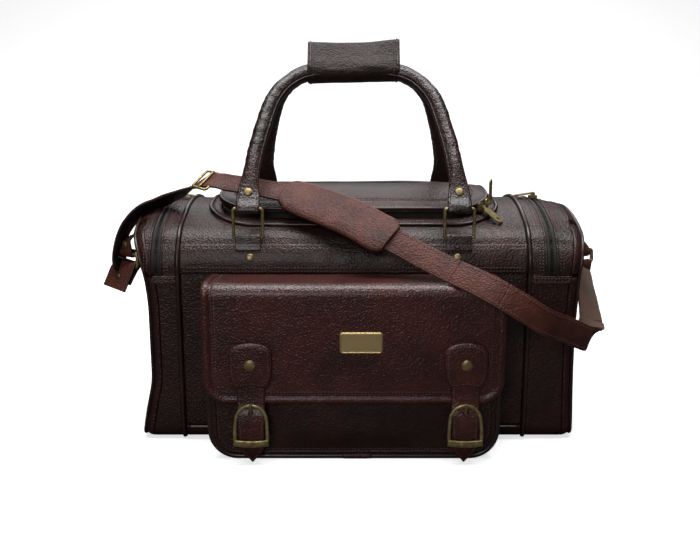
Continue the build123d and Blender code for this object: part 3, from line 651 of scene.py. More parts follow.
def body_sheet(name, rows, columns, place, node_names=(), lift=0.0, thickness=SHEET, **options):
    """Sheet on the body that rides it and stands for CAD nodes."""
    points, normals = body_grid(rows, columns, place, lift)
    obj = sheet(name, points, normals, thickness, MATERIALS["body"], "body_leather", **options)
    return attach(obj, "bag", node_names)


panel_xs = eased(112, 0.006) * 2 * PANEL_HALF - PANEL_HALF
low_run = run_at_height(PANEL_LOW[2])
tuck_run = run_at_height(BAND_LOW[2] + 8)
rear_top_run = run_at_height(TOP_LOW[2] + 1)
band_runs = [run_at_height(z) for z in (BAND_LOW[2], BAND_HIGH[2])]


def between(a, b):
    """Function from a row parameter 0 to 1 and an x to (x, s between a and b)."""
    return lambda r, x: (x, a + (b - a) * r)


body_sheet("front_panel_leather", eased(54, 0.015), panel_xs, between(low_run, tuck_run), ["front_panel"])
body_sheet("rear_panel_leather", eased(56, 0.015), panel_xs, between(-low_run, -rear_top_run),
           ["rear_panel"])
body_sheet("base_leather", eased(60, 0.01), panel_xs, between(-low_run, low_run), ["base_panel"])
body_sheet("band_leather", eased(12, 0.06), panel_xs, between(*band_runs), ["front_band"], lift=2.0)

# Top panel: loops from the lid's opening out to the seams, measured along the crown
LID_HALF_X, LID_HALF_Y = LID_HIGH[0], LID_HIGH[1]
LID_CORNER = 40.0


def run_from_middle(c):
    """Run s for a signed distance c over the crown from its middle, negative to the front."""
    return S_TOP + c if c < 0 else c - S_TOP


def crown_arc(y):
    """Signed distance over the crown for a depth y."""
    return math.copysign(CROWN_RADIUS * math.asin(min(abs(y), SHOULDER_HALF) / CROWN_RADIUS), y)


hole = [(x, crown_arc(y)) for x, y in rounded_loop(LID_HALF_X + 0.3, LID_HALF_Y + 0.3, LID_CORNER, 10, 40)]
rim = rounded_loop(PANEL_HALF, S_TOP - rear_top_run + 2, 2.0, 10, 40)


def top_place(r, j):
    """(x, s) of the top panel between the opening and the seams."""
    x = hole[j][0] + (rim[j][0] - hole[j][0]) * r
    return x, run_from_middle(hole[j][1] + (rim[j][1] - hole[j][1]) * r)


body_sheet("top_panel_leather", eased(26, 0.03), range(len(hole)), top_place, ["top_panel"], wrap=True)


# ---------------------------------------------------------------- end sections
def end_wall_point(side, y, z, lift=0.0):
    """Point on the padded end wall: a rounded rim and a flat, slightly rumpled middle."""
    half = wall_half_depth(z)
    rim_distance = min(half - abs(y), wall_rim_distance(y, z))
    d = min(max(rim_distance, 0.0), END_EDGE)
    x = wall_x(side, z) - END_EDGE + math.sqrt(max(END_EDGE**2 - (END_EDGE - d) ** 2, 0.0))
    calm = float(smoothstep(d, 2, END_EDGE))
    x += calm * (1.6 * ripple(y, z, side * 40, 62, 7.7) + 0.7 * ripple(y, z * 0.5, side * 9, 24, 2.2)) + lift
    return soften((side * x, y, z))


def wall_half_depth(z):
    """Half depth of the cross-section at a height."""
    if z < BASE_RADIUS:
        return HALF_DEPTH - BASE_RADIUS + math.sqrt(max(BASE_RADIUS**2 - (BASE_RADIUS - z) ** 2, 0))
    if z <= WALL_TOP:
        return HALF_DEPTH
    if z <= CROWN - SHOULDER_RISE:
        return HALF_DEPTH - SHOULDER_RADIUS + math.sqrt(SHOULDER_RADIUS**2 - (z - WALL_TOP) ** 2)
    return math.sqrt(max(CROWN_RADIUS**2 - (z - CROWN + CROWN_RADIUS) ** 2, 0))


def wall_rim_distance(y, z):
    """Distance from the crown or the base to a point of the cross-section."""
    crown = CROWN_RADIUS - math.hypot(y, z - CROWN + CROWN_RADIUS)
    shoulder_y, shoulder_z = abs(y) - HALF_DEPTH + SHOULDER_RADIUS, z - WALL_TOP
    result = min(crown, z)
    if shoulder_y > 0 and shoulder_z > 0:
        result = min(result, SHOULDER_RADIUS - math.hypot(shoulder_y, shoulder_z))
    corner_y, corner_z = abs(y) - HALF_DEPTH + BASE_RADIUS, BASE_RADIUS - z
    if corner_y > 0 and corner_z > 0:
        result = min(result, BASE_RADIUS - math.hypot(corner_y, corner_z))
    return result


def end_wall_sheet(name, side, z_low, z_high):
    """Part of an end wall between two heights, as a sheet."""
    across = np.sin(np.linspace(-math.pi / 2, math.pi / 2, 70))
    if z_high > CROWN - 1:
        rows = z_low + (z_high - z_low) * np.sin(np.linspace(0, math.pi / 2, 34))
    elif z_low < 1:
        rows = z_low + (z_high - z_low) * (1 - np.cos(np.linspace(0, math.pi / 2, 60)))
    else:
        rows = np.linspace(z_low, z_high, 40)
    points = np.zeros((len(rows), len(across), 3))
    for i, z in enumerate(rows):
        half = wall_half_depth(z)
        for j, v in enumerate(across):
            points[i, j] = end_wall_point(side, half * v, z)
    normals = grid_normals(points)
    normals *= np.sign(normals[..., :1] * side + 1e-9)
    normals[:, 0] = normals[:, -1] = 0
    normals[:, 0, 1], normals[:, -1, 1] = -1, 1
    obj = sheet(name, points, normals, SHEET, MATERIALS["body"], "body_leather")
    return attach(obj, "bag")


def end_place(side, inner, low, high):
    """(x, s) on an end section's side from inner to where the wall's rounded rim starts."""

    def place(r, c):
        s = low + (high - low) * c
        z = float(outline(np.float64(s))[1])
        outer = wall_x(side, z) - END_EDGE
        return side * (inner + (outer - inner) * r), s if s <= S_TOP else s - 2 * S_TOP

    return place


end_run = run_at_height(END_SEAM)
full_turn = 2 * S_TOP
for side, label in ((-1, "left"), (1, "right")):
    inner = SEAM_X + 2.2
    strip = end_place(side, inner, end_run - 1, full_turn - end_run + 1)

    def strip_place(r, c, strip=strip, side=side, inner=inner):
        s = strip(0, c)[1]
        return side * (inner + (ZIP_X - ZIP_HALF - inner) * r), s

    body_sheet(f"{label}_end_strip_leather", eased(6, 0.1), eased(110, 0.004), strip_place)
    cap = end_place(side, ZIP_X + ZIP_HALF, end_run + 0.6, full_turn - end_run - 0.6)
    body_sheet(f"{label}_end_cap_leather", eased(10, 0.06), eased(110, 0.004), cap, [f"{label}_end_cap"])
    lower = end_place(side, inner, -end_run, end_run)
    body_sheet(f"{label}_end_lower_leather", eased(14, 0.05), eased(150, 0.003), lower,
               [f"{label}_end_lower"])
    end_wall_sheet(f"{label}_end_wall_lower", side, 0.3, END_SEAM - 0.3)
    end_wall_sheet(f"{label}_end_wall_upper", side, END_SEAM + 0.3, CROWN - 0.3)


# ---------------------------------------------------------------- seams, piping and zips
def body_path(places, lift=0.0, inset=0.0):
    """Points and normals along a line of (x, s) places on the body."""
    pairs = [on_body(x, s, lift) for x, s in places]
    points = np.array([p for p, _ in pairs])
    normals = np.array([n for _, n in pairs])
    return points - normals * inset, normals


def stitch_body(places, lift=0.1, spacing=3.4):
    """Row of stitches along (x, s) places on the body."""
    points, normals = body_path(places, lift)
    stitch("bag", points, normals, spacing=spacing, lift=0.2)


def cord(name, body, points, normals, radius, material="piping", closed=False, nodes=()):
    """Piping: leather rolled round a cord, swept along a line."""
    obj = sweep(name, points, round_section(radius, 12), MATERIALS[material], normals, closed)
    return attach(obj, body, nodes)


def teeth(name, body, points, normals, pitch=1.7, width=2.7, alternate=True):
    """Row of small interlocking zip teeth along a line."""
    line = resample(np.hstack([points, normals]), pitch)
    tangent, side, up = line_frames(line[:, :3], line[:, 3:])
    corners = [(a, b, c) for a in (-1, 1) for b in (-1, 1) for c in (-1, 1)]
    quads = ((0, 1, 3, 2), (4, 6, 7, 5), (0, 4, 5, 1), (2, 3, 7, 6), (0, 2, 6, 4), (1, 5, 7, 3))
    verts, faces = [], []
    for k in range(1, len(line) - 1):
        shift = (0.55 if k % 2 else -0.55) * (1 if alternate else 0)
        centre = line[k, :3] + side[k] * shift
        start = len(verts)
        for a, b, c in corners:
            taper = 0.78 if c > 0 else 1.0
            corner = centre + tangent[k] * a * pitch * 0.3 * taper + side[k] * b * width / 2 * taper
            verts.append(corner + up[k] * c * 0.55)
        faces += [tuple(start + q for q in quad) for quad in quads]
    obj = new_mesh(name, verts, faces, MATERIALS["teeth"], smooth=False)
    return attach(obj, body)


BODY_PIPING = 2.3
RIM_INSET = END_EDGE * (1 - math.sqrt(0.5)) - 0.6
run_round = np.linspace(-S_TOP, S_TOP, 260, endpoint=False)
for side, label in ((-1, "left"), (1, "right")):
    points, normals = body_path([(side * SEAM_X, s) for s in run_round], lift=0.9)
    points[:, 2] = np.maximum(points[:, 2], BODY_PIPING)
    cord(f"{label}_body_piping", "bag", points, normals, BODY_PIPING, closed=True,
         nodes=["seam_piping"] if side < 0 else ())
    # piping on the rounded rim of the end wall
    rim_points = []
    for s in run_round:
        y, z, ny, nz = (float(v) for v in outline(np.float64(s)))
        x = wall_x(side, z) - RIM_INSET
        rim_points.append(soften((side * x, y - ny * RIM_INSET, z - nz * RIM_INSET)))
    cord(f"{label}_end_piping", "bag", np.array(rim_points), normals, 1.8, closed=True)

    zip_runs = np.linspace(end_run + 0.5, full_turn - end_run - 0.5, 150)
    places = [(side * ZIP_X, s if s <= S_TOP else s - full_turn) for s in zip_runs]
    tape_points, tape_normals = body_grid(
        np.linspace(-ZIP_HALF - 2.5, ZIP_HALF + 2.5, 9), zip_runs,
        lambda dx, s, side=side: (side * (ZIP_X + dx), s if s <= S_TOP else s - full_turn), lift=-0.7)
    tape = sheet(f"{label}_end_zip_tape", tape_points, tape_normals, 0.8, MATERIALS["tape"], "zip_tape")
    attach(tape, "bag", [f"{label}_end_zip"])
    points, normals = body_path(places, lift=-0.15)
    teeth(f"{label}_end_zip_teeth", "bag", points, normals)
    # rolled leather edges beside the tape, each with its rows of stitches
    for sign in (-1, 1):
        edge = [(side * (ZIP_X + sign * (ZIP_HALF + 0.2)), s) for _, s in places]
        points, normals = body_path(edge, lift=0.1)
        cord(f"{label}_zip_edge_{'outer' if sign > 0 else 'inner'}", "bag", points, normals, 1.3, "body")
        for row in (3.4, 6.4):
            stitch_body([(side * (ZIP_X + sign * (ZIP_HALF + row)), s) for _, s in places[2:-2]])
    # folded band closing the zip's two ends
    for front in (1, -1):
        low = front * (end_run - 8.5)
        high = front * (end_run + 0.5)
        x_in, x_out = SEAM_X + 2, wall_x(side, END_SEAM) - END_EDGE + 2
        body_sheet(
            f"{label}_end_fold_{'front' if front > 0 else 'rear'}", eased(6, 0.08), eased(22, 0.02),
            lambda r, c, a=low, b=high, i=x_in, o=x_out, m=side: (m * (i + (o - i) * c), a + (b - a) * r),
            lift=1.5, thickness=2.0)
        fold_xs = np.linspace(x_in + 2, x_out - 2, 12)
        for row in (0.3, 0.72):
            stitch_body([(side * x, low + (high - low) * row) for x in fold_xs], 1.5)

band_inside = np.linspace(-PANEL_HALF + 3, PANEL_HALF - 3, 120)
for run in (band_runs[0] + 3.0, band_runs[0] + 6.6, band_runs[1] - 3.0, band_runs[1] - 6.6):
    stitch_body([(x, run) for x in band_inside], 2.0)
rear_seam = -rear_top_run
for offset in (-3.0, 4.0):
    stitch_body([(x, rear_seam + offset) for x in band_inside])
for front in (1, -1):
    points, normals = body_path([(x, front * (low_run - 2.0)) for x in band_inside], lift=0.4)
    cord(f"base_piping_{'front' if front > 0 else 'rear'}", "bag", points, normals, 1.7)


# ---------------------------------------------------------------- lid and its opening
LID_RISE = LID_HIGH[2] - CROWN
COLLAR = 3.2
ZIP_GAP = COLLAR + 4.2
LID_LOW_RISE = ZIP_GAP + 2.4
LID_EDGE = 2.0


def ring_at(growth, rise):
    """Closed loop round the lid's outline, grown sideways, at a rise above the crown."""
    corner = max(LID_CORNER + growth, 2.0)
    loop = rounded_loop(LID_HALF_X + growth, LID_HALF_Y + growth, corner, 12, 40)
    return np.array([(x, y, crown_at(y) + rise) for x, y in loop])


def ring_outward():
    """Outward directions of the loop in plan."""
    d = ring_at(2.0, 0) - ring_at(0.0, 0)
    d[:, 2] = 0
    return d / np.linalg.norm(d, axis=1, keepdims=True)


OUTWARD = ring_outward()


def ring_sheet(name, profile, thickness, material, body, nodes=(), slot="body_leather"):
    """Sheet round the lid's outline through (growth, rise) pairs, from its first pair to its last."""
    profile = smooth_line(profile, 3 * len(profile) - 2) if len(profile) > 3 else np.array(profile)
    points = np.stack([ring_at(g, h) for g, h in profile])
    normals = grid_normals(points)
    reference = OUTWARD[None] * 0.7 + np.array([0, 0, 0.7])
    normals *= np.sign(np.sum(normals * reference, axis=2, keepdims=True) + 1e-9)
    obj = sheet(name, points, normals, thickness, MATERIALS[material], slot, wrap=True)
    return attach(obj, body, nodes)


def closed_line(loop):
    """Loop of points with its first point repeated at its end."""
    return np.vstack([loop, loop[:1]])


up_normals = facing((0, 0, 1), len(OUTWARD))
ring_sheet("opening_flange", [(-0.5, 2.2), (2, 2.2), (6, 2.0), (11, 1.4)], 1.8, "body", "bag",
           ["opening_collar"])
cord("opening_piping", "bag", ring_at(12.0, 1.4), up_normals, 2.0, closed=True)
stitch("bag", closed_line(ring_at(8.2, 2.0)), closed_line(up_normals))
ring_sheet("opening_collar_leather", [(-1.2, 0.5), (-0.9, 1.8), (-0.9, COLLAR)], 1.6, "body", "bag")
ring_sheet("lid_zip_lower_tape", [(-0.6, COLLAR - 1.0), (-0.6, ZIP_GAP - 0.6)], 0.8, "tape", "bag",
           ["lid_zip_lower"], "zip_tape")
ring_sheet("lid_zip_upper_tape", [(-0.6, ZIP_GAP - 0.1), (-0.6, LID_LOW_RISE + 1.5)], 0.8, "tape", "lid",
           ["lid_zip_upper"], "zip_tape")
# the teeth run round three sides and stop where the rear hinge is sewn
HINGE_HALF = LID_HALF_X - LID_CORNER + 2
hinged = [k for k, p in enumerate(ring_at(0, 0)) if p[1] > LID_HALF_Y - 1 and abs(p[0]) < HINGE_HALF]
zip_order = [*range(hinged[-1] + 1, len(OUTWARD)), *range(hinged[0])]
for body, rise, name in (("bag", ZIP_GAP - 0.75, "lower"), ("lid", ZIP_GAP + 0.55, "upper")):
    teeth(f"lid_zip_{name}_teeth", body, ring_at(-0.2, rise)[zip_order], OUTWARD[zip_order], width=1.5,
          alternate=False)


def lid_dome(x, y):
    """Rise of the lid's top over the crown: a low cushion with slow waves; its dip inside the stitched line
    is pressed in where the lid's rows are made.
    """
    u, v = x / LID_HALF_X, y / LID_HALF_Y
    cushion = 5.5 * (1 - u**4) * (1 - v**2)
    return LID_RISE + 0.5 + cushion + 1.2 * ripple(x, y, 0, 60, 4.4) * (1 - u**2) * (1 - v**2)


def lid_point(growth):
    """Loop of the lid's top at an inward growth, on the dome."""
    half_y = max(LID_HALF_Y + growth, 0.05)
    corner = min(max(LID_CORNER + growth, 0.04), half_y)
    loop = rounded_loop(max(LID_HALF_X + growth, 1.0), half_y, corner, 12, 40)
    return np.array([(x, y, crown_at(y) + lid_dome(x, y)) for x, y in loop])


LID_GROOVE = 13.0
lid_rows = [ring_at(0, LID_LOW_RISE), ring_at(0.9, LID_LOW_RISE + 0.7), ring_at(0.9, LID_RISE - LID_EDGE)]
for a in np.linspace(0.25, 1, 4):
    edge_in = -2.6 * (1 - math.cos(a * math.pi / 2))
    top = ring_at(0.9 + edge_in, LID_RISE - LID_EDGE + (LID_EDGE + 0.5) * math.sin(a * math.pi / 2))
    lid_rows.append(top)
lid_insets = (4, 7, 10, 12, LID_GROOVE, 14, 16, 20, 26, 34, 42, 50, 58, 66, LID_HALF_Y - 0.1)
for growth in (-inset for inset in lid_insets):
    row = lid_point(growth)
    row[:, 2] -= 1.0 * math.exp(-(((growth + LID_GROOVE) / 1.3) ** 2))
    lid_rows.append(row)
lid_points = np.stack(lid_rows)
lid_normals = grid_normals(lid_points)
reference = OUTWARD[None] * 0.5 + np.array([0, 0, 1.0])
lid_normals *= np.sign(np.sum(lid_normals * reference, axis=2, keepdims=True) + 1e-9)
lid_leather = sheet("lid_leather", lid_points, lid_normals, 2.0, MATERIALS["body"], "body_leather",
                    wrap=True)
attach(lid_leather, "lid", ["lid_top"])
cord("lid_piping", "lid", ring_at(0.2, LID_RISE - 1.2) + OUTWARD * 0.6, up_normals, 2.0, closed=True)
stitch("lid", closed_line(lid_point(-LID_GROOVE - 2.0)), closed_line(up_normals))

# Sewn leather hinge along the rear edge, between the bag and the lid, riding neither
hinge_rises = np.linspace(1.5, LID_RISE - 4.0, 14)
hinge_xs = (eased(40, 0.01) * 2 - 1) * (HINGE_HALF + 4)
hinge_points = np.zeros((len(hinge_rises), len(hinge_xs), 3))
for i, rise in enumerate(hinge_rises):
    bow = 1.0 * math.sin(math.pi * (rise - hinge_rises[0]) / (hinge_rises[-1] - hinge_rises[0]))
    hinge_points[i] = [(x, LID_HALF_Y + 2.4 + bow, crown_at(LID_HALF_Y) + rise) for x in hinge_xs]
hinge_normals = np.tile(np.array([0, 1.0, 0]), (*hinge_points.shape[:2], 1))
hinge = sheet("lid_hinge_leather", hinge_points, hinge_normals, 1.6, MATERIALS["body"], "body_leather")
hinge_base = crown_at(LID_HALF_Y)
bend(hinge, "bag", "lid", (0, LID_HALF_Y, hinge_base + 3), (0, LID_HALF_Y, hinge_base + 11))


# ---------------------------------------------------------------- front pocket
POCKET_HALF = 147.0
POCKET_CORNER = 28.0
POCKET_FLOOR = 2.0
POCKET_FRONT = -POCKET_LOW[1]
POCKET_TOP = POCKET_HIGH[2]
PIPE_Y = POCKET_FRONT - 1.8
FLAP_HALF = FLAP_HIGH[0]
FLAP_BOTTOM = FLAP_LOW[2]
FLAP_FRONT = -FLAP_LOW[1]
FLAP_TOP = FLAP_HIGH[2]
FLAP_BEND = 12.5
FLAP_CORNER = 24.0
FLAP_HINGE_Y = 118.5
CLOSURE_X = 108.0


def corner_low(x, half, corner, bottom):
    """Height of a rounded lower outline at x."""
    over = abs(x) - (half - corner)
    if over <= 0:
        return bottom
    return bottom + corner - math.sqrt(max(corner**2 - over**2, 0.0))


def edge_gap(x, z, half, corner, bottom):
    """Distance in from the sides and the rounded lower edge of an outline."""
    dx, dz = half - abs(x), z - bottom
    if dx < corner and dz < corner:
        return corner - math.hypot(corner - dx, corner - dz)
    return min(dx, dz)


def u_path(half, corner, bottom, top, spacing=3.0):
    """Line down one side, round the lower corners and up the other, as (x, z)."""
    left = [(-half, top), (-half, bottom + corner)]
    arc = [(-half + corner * (1 - math.cos(a)), bottom + corner * (1 - math.sin(a)))
           for a in np.linspace(0, math.pi / 2, 14)]
    line = left + arc + [(-x, z) for x, z in reversed(left + arc)]
    return resample(line, spacing)


def cornered_xs(half, corner, count):
    """x positions across an outline, crowded where its lower corners curve."""
    a = np.linspace(0, math.pi / 2, 16)
    curve = half - corner + corner * np.sin(a)
    middle = np.linspace(-half + corner, half - corner, count)[1:-1]
    return np.concatenate([-curve[::-1], middle, curve])


def pocket_bulge(x, z):
    """How far the filled pocket's front stands out: flat near its edges and behind the snaps."""
    gap = edge_gap(x, z, POCKET_HALF, POCKET_CORNER, POCKET_FLOOR)
    calm = float(smoothstep(gap, 2, 22))
    belly = 3.4 * float(smoothstep(92 - abs(x), 0, 60)) * float(smoothstep(z, 4, 34))
    return calm * (belly + 0.7 * ripple(x, z, 0, 34, 6.1)) + 0.5 * calm


columns = cornered_xs(POCKET_HALF - 1.5, POCKET_CORNER - 1.5, 70)
rows = eased(40, 0.01)
points = np.zeros((len(rows), len(columns), 3))
for j, x in enumerate(columns):
    low = corner_low(x, POCKET_HALF - 1.5, POCKET_CORNER - 1.5, POCKET_FLOOR + 1.5)
    for i, r in enumerate(rows):
        z = low + (POCKET_TOP - low) * r
        points[i, j] = (x, -POCKET_FRONT - pocket_bulge(x, z), z)
normals = np.tile(np.array([0, -1.0, 0]), (*points.shape[:2], 1))
obj = sheet("pocket_front_leather", points, normals, SHEET, MATERIALS["body"], "body_leather")
attach(obj, "bag", ["pocket_front"])

path = u_path(POCKET_HALF, POCKET_CORNER, POCKET_FLOOR, POCKET_TOP)
path_outward = np.gradient(path, axis=0)
path_outward = np.stack([path_outward[:, 1], -path_outward[:, 0]], axis=1)
path_outward /= np.linalg.norm(path_outward, axis=1, keepdims=True)
depths = eased(12, 0.05)
points = np.zeros((len(depths), len(path), 3))
normals = np.zeros_like(points)
for i, r in enumerate(depths):
    y = -(HALF_DEPTH - 1.0 + (PIPE_Y - 1.0 - HALF_DEPTH) * r)
    for j, ((x, z), (ox, oz)) in enumerate(zip(path, path_outward)):
        swell = math.sin(math.pi * r)
        sink = -2.2 * swell * (1.0 if z > 8 else 0.25) + 0.6 * ripple(x, y, z, 22, 2.0) * swell
        near_zip = x < 0 and z > 30
        points[i, j] = (x + ox * sink * (0.2 if near_zip else 1), y, z + oz * sink)
        normals[i, j] = (ox, 0, oz)
if np.mean(normals[:, : len(path) // 4, 0]) > 0:
    normals = -normals
obj = sheet("pocket_gusset_leather", points, normals, SHEET, MATERIALS["body"], "body_leather")
attach(obj, "bag", ["pocket_gusset"])


def pocket_cord(name, line, y, radius, material="piping"):
    """Cord along a line of (x, z) places at a depth y."""
    cord(name, "bag", np.array([(x, y, z) for x, z in line]), to_front(len(line)), radius, material)


pocket_cord("pocket_piping", path, -PIPE_Y, 2.9)
inside = u_path(POCKET_HALF - 5.6, POCKET_CORNER - 5.6, POCKET_FLOOR + 5.6, POCKET_TOP)
pocket_cord("pocket_inner_welt", inside, -POCKET_FRONT - 0.2, 1.1, "body")
inside = u_path(POCKET_HALF - 8.4, POCKET_CORNER - 8.4, POCKET_FLOOR + 8.4, POCKET_TOP)
stitch("bag", [(x, -POCKET_FRONT - pocket_bulge(x, z) - 0.1, z) for x, z in inside], to_front(len(inside)))
back = u_path(POCKET_HALF + 0.6, POCKET_CORNER, POCKET_FLOOR + 0.4, POCKET_TOP)
pocket_cord("pocket_rear_piping", back, -HALF_DEPTH - 1.6, 1.6)
patch = np.array([(x, -PIPE_Y, POCKET_FLOOR + 0.1) for x in np.linspace(-12, 19, 12)])
sleeve = sweep("pocket_piping_join", patch, round_section(3.5, 14), MATERIALS["body"],
               to_front(12), scale=[(s, s) for s in (0.9, 0.97, *([1.0] * 8), 0.97, 0.9)])
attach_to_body(sleeve, "bag")

# Side zip on the pocket's left wall
ZIP_Y = 140.0
zip_zs = np.linspace(38.0, 156.0, 70)
wall = -POCKET_HALF
facing_left = facing((-1, 0, 0), len(zip_zs))
tape_points = np.array([[(wall - 0.5, -ZIP_Y + dy, z) for z in zip_zs] for dy in np.linspace(-4.6, 4.6, 5)])
tape = sheet("pocket_zip_tape", tape_points, np.tile([-1.0, 0, 0], (*tape_points.shape[:2], 1)), 0.7,
             MATERIALS["tape"], "zip_tape")
attach(tape, "bag", ["pocket_side_zip"])
teeth("pocket_zip_teeth", "bag", np.array([(wall - 0.6, -ZIP_Y, z) for z in zip_zs]), facing_left, width=2.4)
for dy in (-5.2, 5.2):
    cord(f"pocket_zip_welt_{'near' if dy < 0 else 'far'}", "bag",
         np.array([(wall - 0.5, -ZIP_Y + dy, z) for z in zip_zs]), facing_left, 1.1, "body")


# ---------------------------------------------------------------- flap
FLAP_ARC = FLAP_BEND * math.pi / 2
FLAP_FLAT = FLAP_FRONT - FLAP_BEND - FLAP_HINGE_Y
FLAP_RUN = FLAP_FLAT + FLAP_ARC + FLAP_TOP - FLAP_BEND - FLAP_BOTTOM


def flap_profile(run):
    """Depth, height and outward normal of the flap's outer face at a run from its sewn edge."""
    if run < FLAP_FLAT:
        return -FLAP_HINGE_Y - run, FLAP_TOP, 0.0, 1.0
    if run < FLAP_FLAT + FLAP_ARC:
        a = (run - FLAP_FLAT) / FLAP_BEND
        y = -(FLAP_FRONT - FLAP_BEND) - FLAP_BEND * math.sin(a)
        return y, FLAP_TOP - FLAP_BEND * (1 - math.cos(a)), -math.sin(a), math.cos(a)
    return -FLAP_FRONT, FLAP_TOP - FLAP_BEND - (run - FLAP_FLAT - FLAP_ARC), -1.0, 0.0


def flap_relief(x, run):
    """Soft surface of the flap: rolled edges with a pressed groove inside them, slow waves between."""
    drop = FLAP_RUN - run
    gap = edge_gap(x, drop, flap_half(run), FLAP_CORNER, 0.0)
    roll = 1.3 * math.sin(math.pi * min(max(gap, 0.0), 8.0) / 8.0)
    groove = -0.9 * math.exp(-(((gap - 9.0) / 1.3) ** 2))
    quiet = float(smoothstep(gap, 9, 36))
    near_closure = math.exp(-(((abs(x) - CLOSURE_X) / 30) ** 2))
    waves = 0.9 * ripple(x, run, 3.0, 74, 1.2) + 0.35 * ripple(x, run, 9.0, 27, 7.0)
    return roll + groove + waves * quiet * (1 - 0.8 * near_closure)


def flap_half(run):
    """Half width of the flap: a little narrower at its sewn edge."""
    return FLAP_HALF - 5.0 * math.exp(-run / 14.0)


def on_flap(x, run, lift=0.0):
    """Point and normal on the flap's outer face."""
    y, z, ny, nz = flap_profile(run)
    up = lift + flap_relief(x, run)
    return (x, y + ny * up, z + nz * up), (0.0, ny, nz)


shares = cornered_xs(1.0, FLAP_CORNER / FLAP_HALF, 84)
shares = np.sort(np.concatenate([shares, [-0.985, -0.97, -0.955, -0.94, 0.94, 0.955, 0.97, 0.985]]))
run_rows = np.concatenate([np.linspace(0, 0.14, 8)[:-1], np.linspace(0.14, 0.4, 20)[:-1],
                           np.linspace(0.4, 0.9, 34)[:-1], np.linspace(0.9, 1, 16)])
points = np.zeros((len(run_rows), len(shares), 3))
normals = np.zeros_like(points)
for i, r in enumerate(run_rows):
    for j, share in enumerate(shares):
        rise = corner_low(share * FLAP_HALF, FLAP_HALF, FLAP_CORNER, 0.0)
        run = r * (FLAP_RUN - rise)
        x = share * flap_half(run)
        points[i, j], normals[i, j] = on_flap(x, run)
obj = sheet("flap_leather", points, normals, 2.6, MATERIALS["flap"], "flap_leather")
attach(obj, "pocket_flap", ["flap"])


def flap_u(inset, spacing=3.0):
    """Line parallel to the flap's sides and lower edge, as (x, run)."""
    line = u_path(FLAP_HALF - inset, FLAP_CORNER - inset, inset, FLAP_RUN - 2, spacing)
    return [(x * flap_half(FLAP_RUN - drop) / FLAP_HALF, FLAP_RUN - drop) for x, drop in line]


sewn_edge = [(x, 5.0) for x in np.linspace(-FLAP_HALF + 10, FLAP_HALF - 10, 100)]
for places in (flap_u(10.6), flap_u(13.2), sewn_edge):
    pairs = [on_flap(x, run, 0.05) for x, run in places]
    stitch("pocket_flap", [p for p, _ in pairs], [n for _, n in pairs])


# ---------------------------------------------------------------- closures on the flap
CLOSURE_SHIFT = (box_mm("left_prong")[0][0] + box_mm("right_prong")[1][0]) / 2
RIVET_Z = 104.0
TAB_FRONT = 176.2
TAB_TOP = 117.0
TAB_HALF = 21.5
BUCKLE_PIN_Z = 31.5
BUCKLE_PIN_Y = -177.1
EYELET_Z = 54.5


def plate(name, outline_xz, spine, front, thickness, material, body, nodes=(), puff=1.0, roll=3.0):
    """Leather shape cut to an outline, padded towards its spine; front gives the face's depth at (x, z)."""
    loop = resample(list(outline_xz) + [outline_xz[0]], 1.6)[:-1]
    a, b = (np.array(v, float) for v in spine)
    centre = []
    for p in loop:
        t = np.clip(np.dot(p - a, b - a) / max(np.dot(b - a, b - a), 1e-9), 0, 1)
        centre.append(a + (b - a) * t)
    centre = np.array(centre)
    reach = np.linalg.norm(loop - centre, axis=1)
    rings = []
    for gap, low in ((0.0, thickness), (0.0, 1.0), (0.35, 0.35), (1.0, 0.0)):
        share = np.minimum(gap / reach, 1.0)[:, None]
        flat = loop + (centre - loop) * share
        rings.append([(x, -(front(x, z) - low), z) for x, z in flat])
    for share in (0.12, 0.25, 0.4, 0.55, 0.7, 0.85, 0.999):
        start = loop + (centre - loop) * np.minimum(1.0 / reach, 1.0)[:, None]
        flat = start + (centre - start) * share
        gap = reach * share
        lifted = puff * (1 - np.exp(-gap / roll))
        rings.append([(x, -(front(x, z) + up), z) for (x, z), up in zip(flat, lifted)])
    rings = np.array(rings)
    verts = rings.reshape(-1, 3)
    obj = new_mesh(name, verts, capped_faces(*rings.shape[:2]), MATERIALS[material])
    return attach(obj, body, nodes)


def border(outline_xz, inset, spine):
    """Line parallel to an outline, moved towards its spine."""
    loop = resample(list(outline_xz) + [outline_xz[0]], 1.6)
    a, b = (np.array(v, float) for v in spine)
    moved = []
    for p in loop:
        t = np.clip(np.dot(p - a, b - a) / max(np.dot(b - a, b - a), 1e-9), 0, 1)
        c = a + (b - a) * t
        moved.append(p + (c - p) * min(inset / max(np.linalg.norm(c - p), 1e-6), 0.9))
    return moved


def strap_front(x, z):
    """Depth of the closure strap's face: flat on the flap, over the buckle's bar, behind its lower edge."""
    heights = (-2.0, 12.0, 21.0, 27.0, 32.0, 46.0, 52.0, 58.0, 63.0, 72.0, 130.0)
    depths = (172.6, 175.5, 177.6, 178.6, 179.4, 179.2, 178.4, 176.2, 174.9, 174.4, 174.3)
    wrinkle = 0.35 * ripple(x, z * 1.6, 5.0, 7, 2.0) * float(smoothstep(z, 44, 60))
    return float(np.interp(z, heights, depths)) + wrinkle


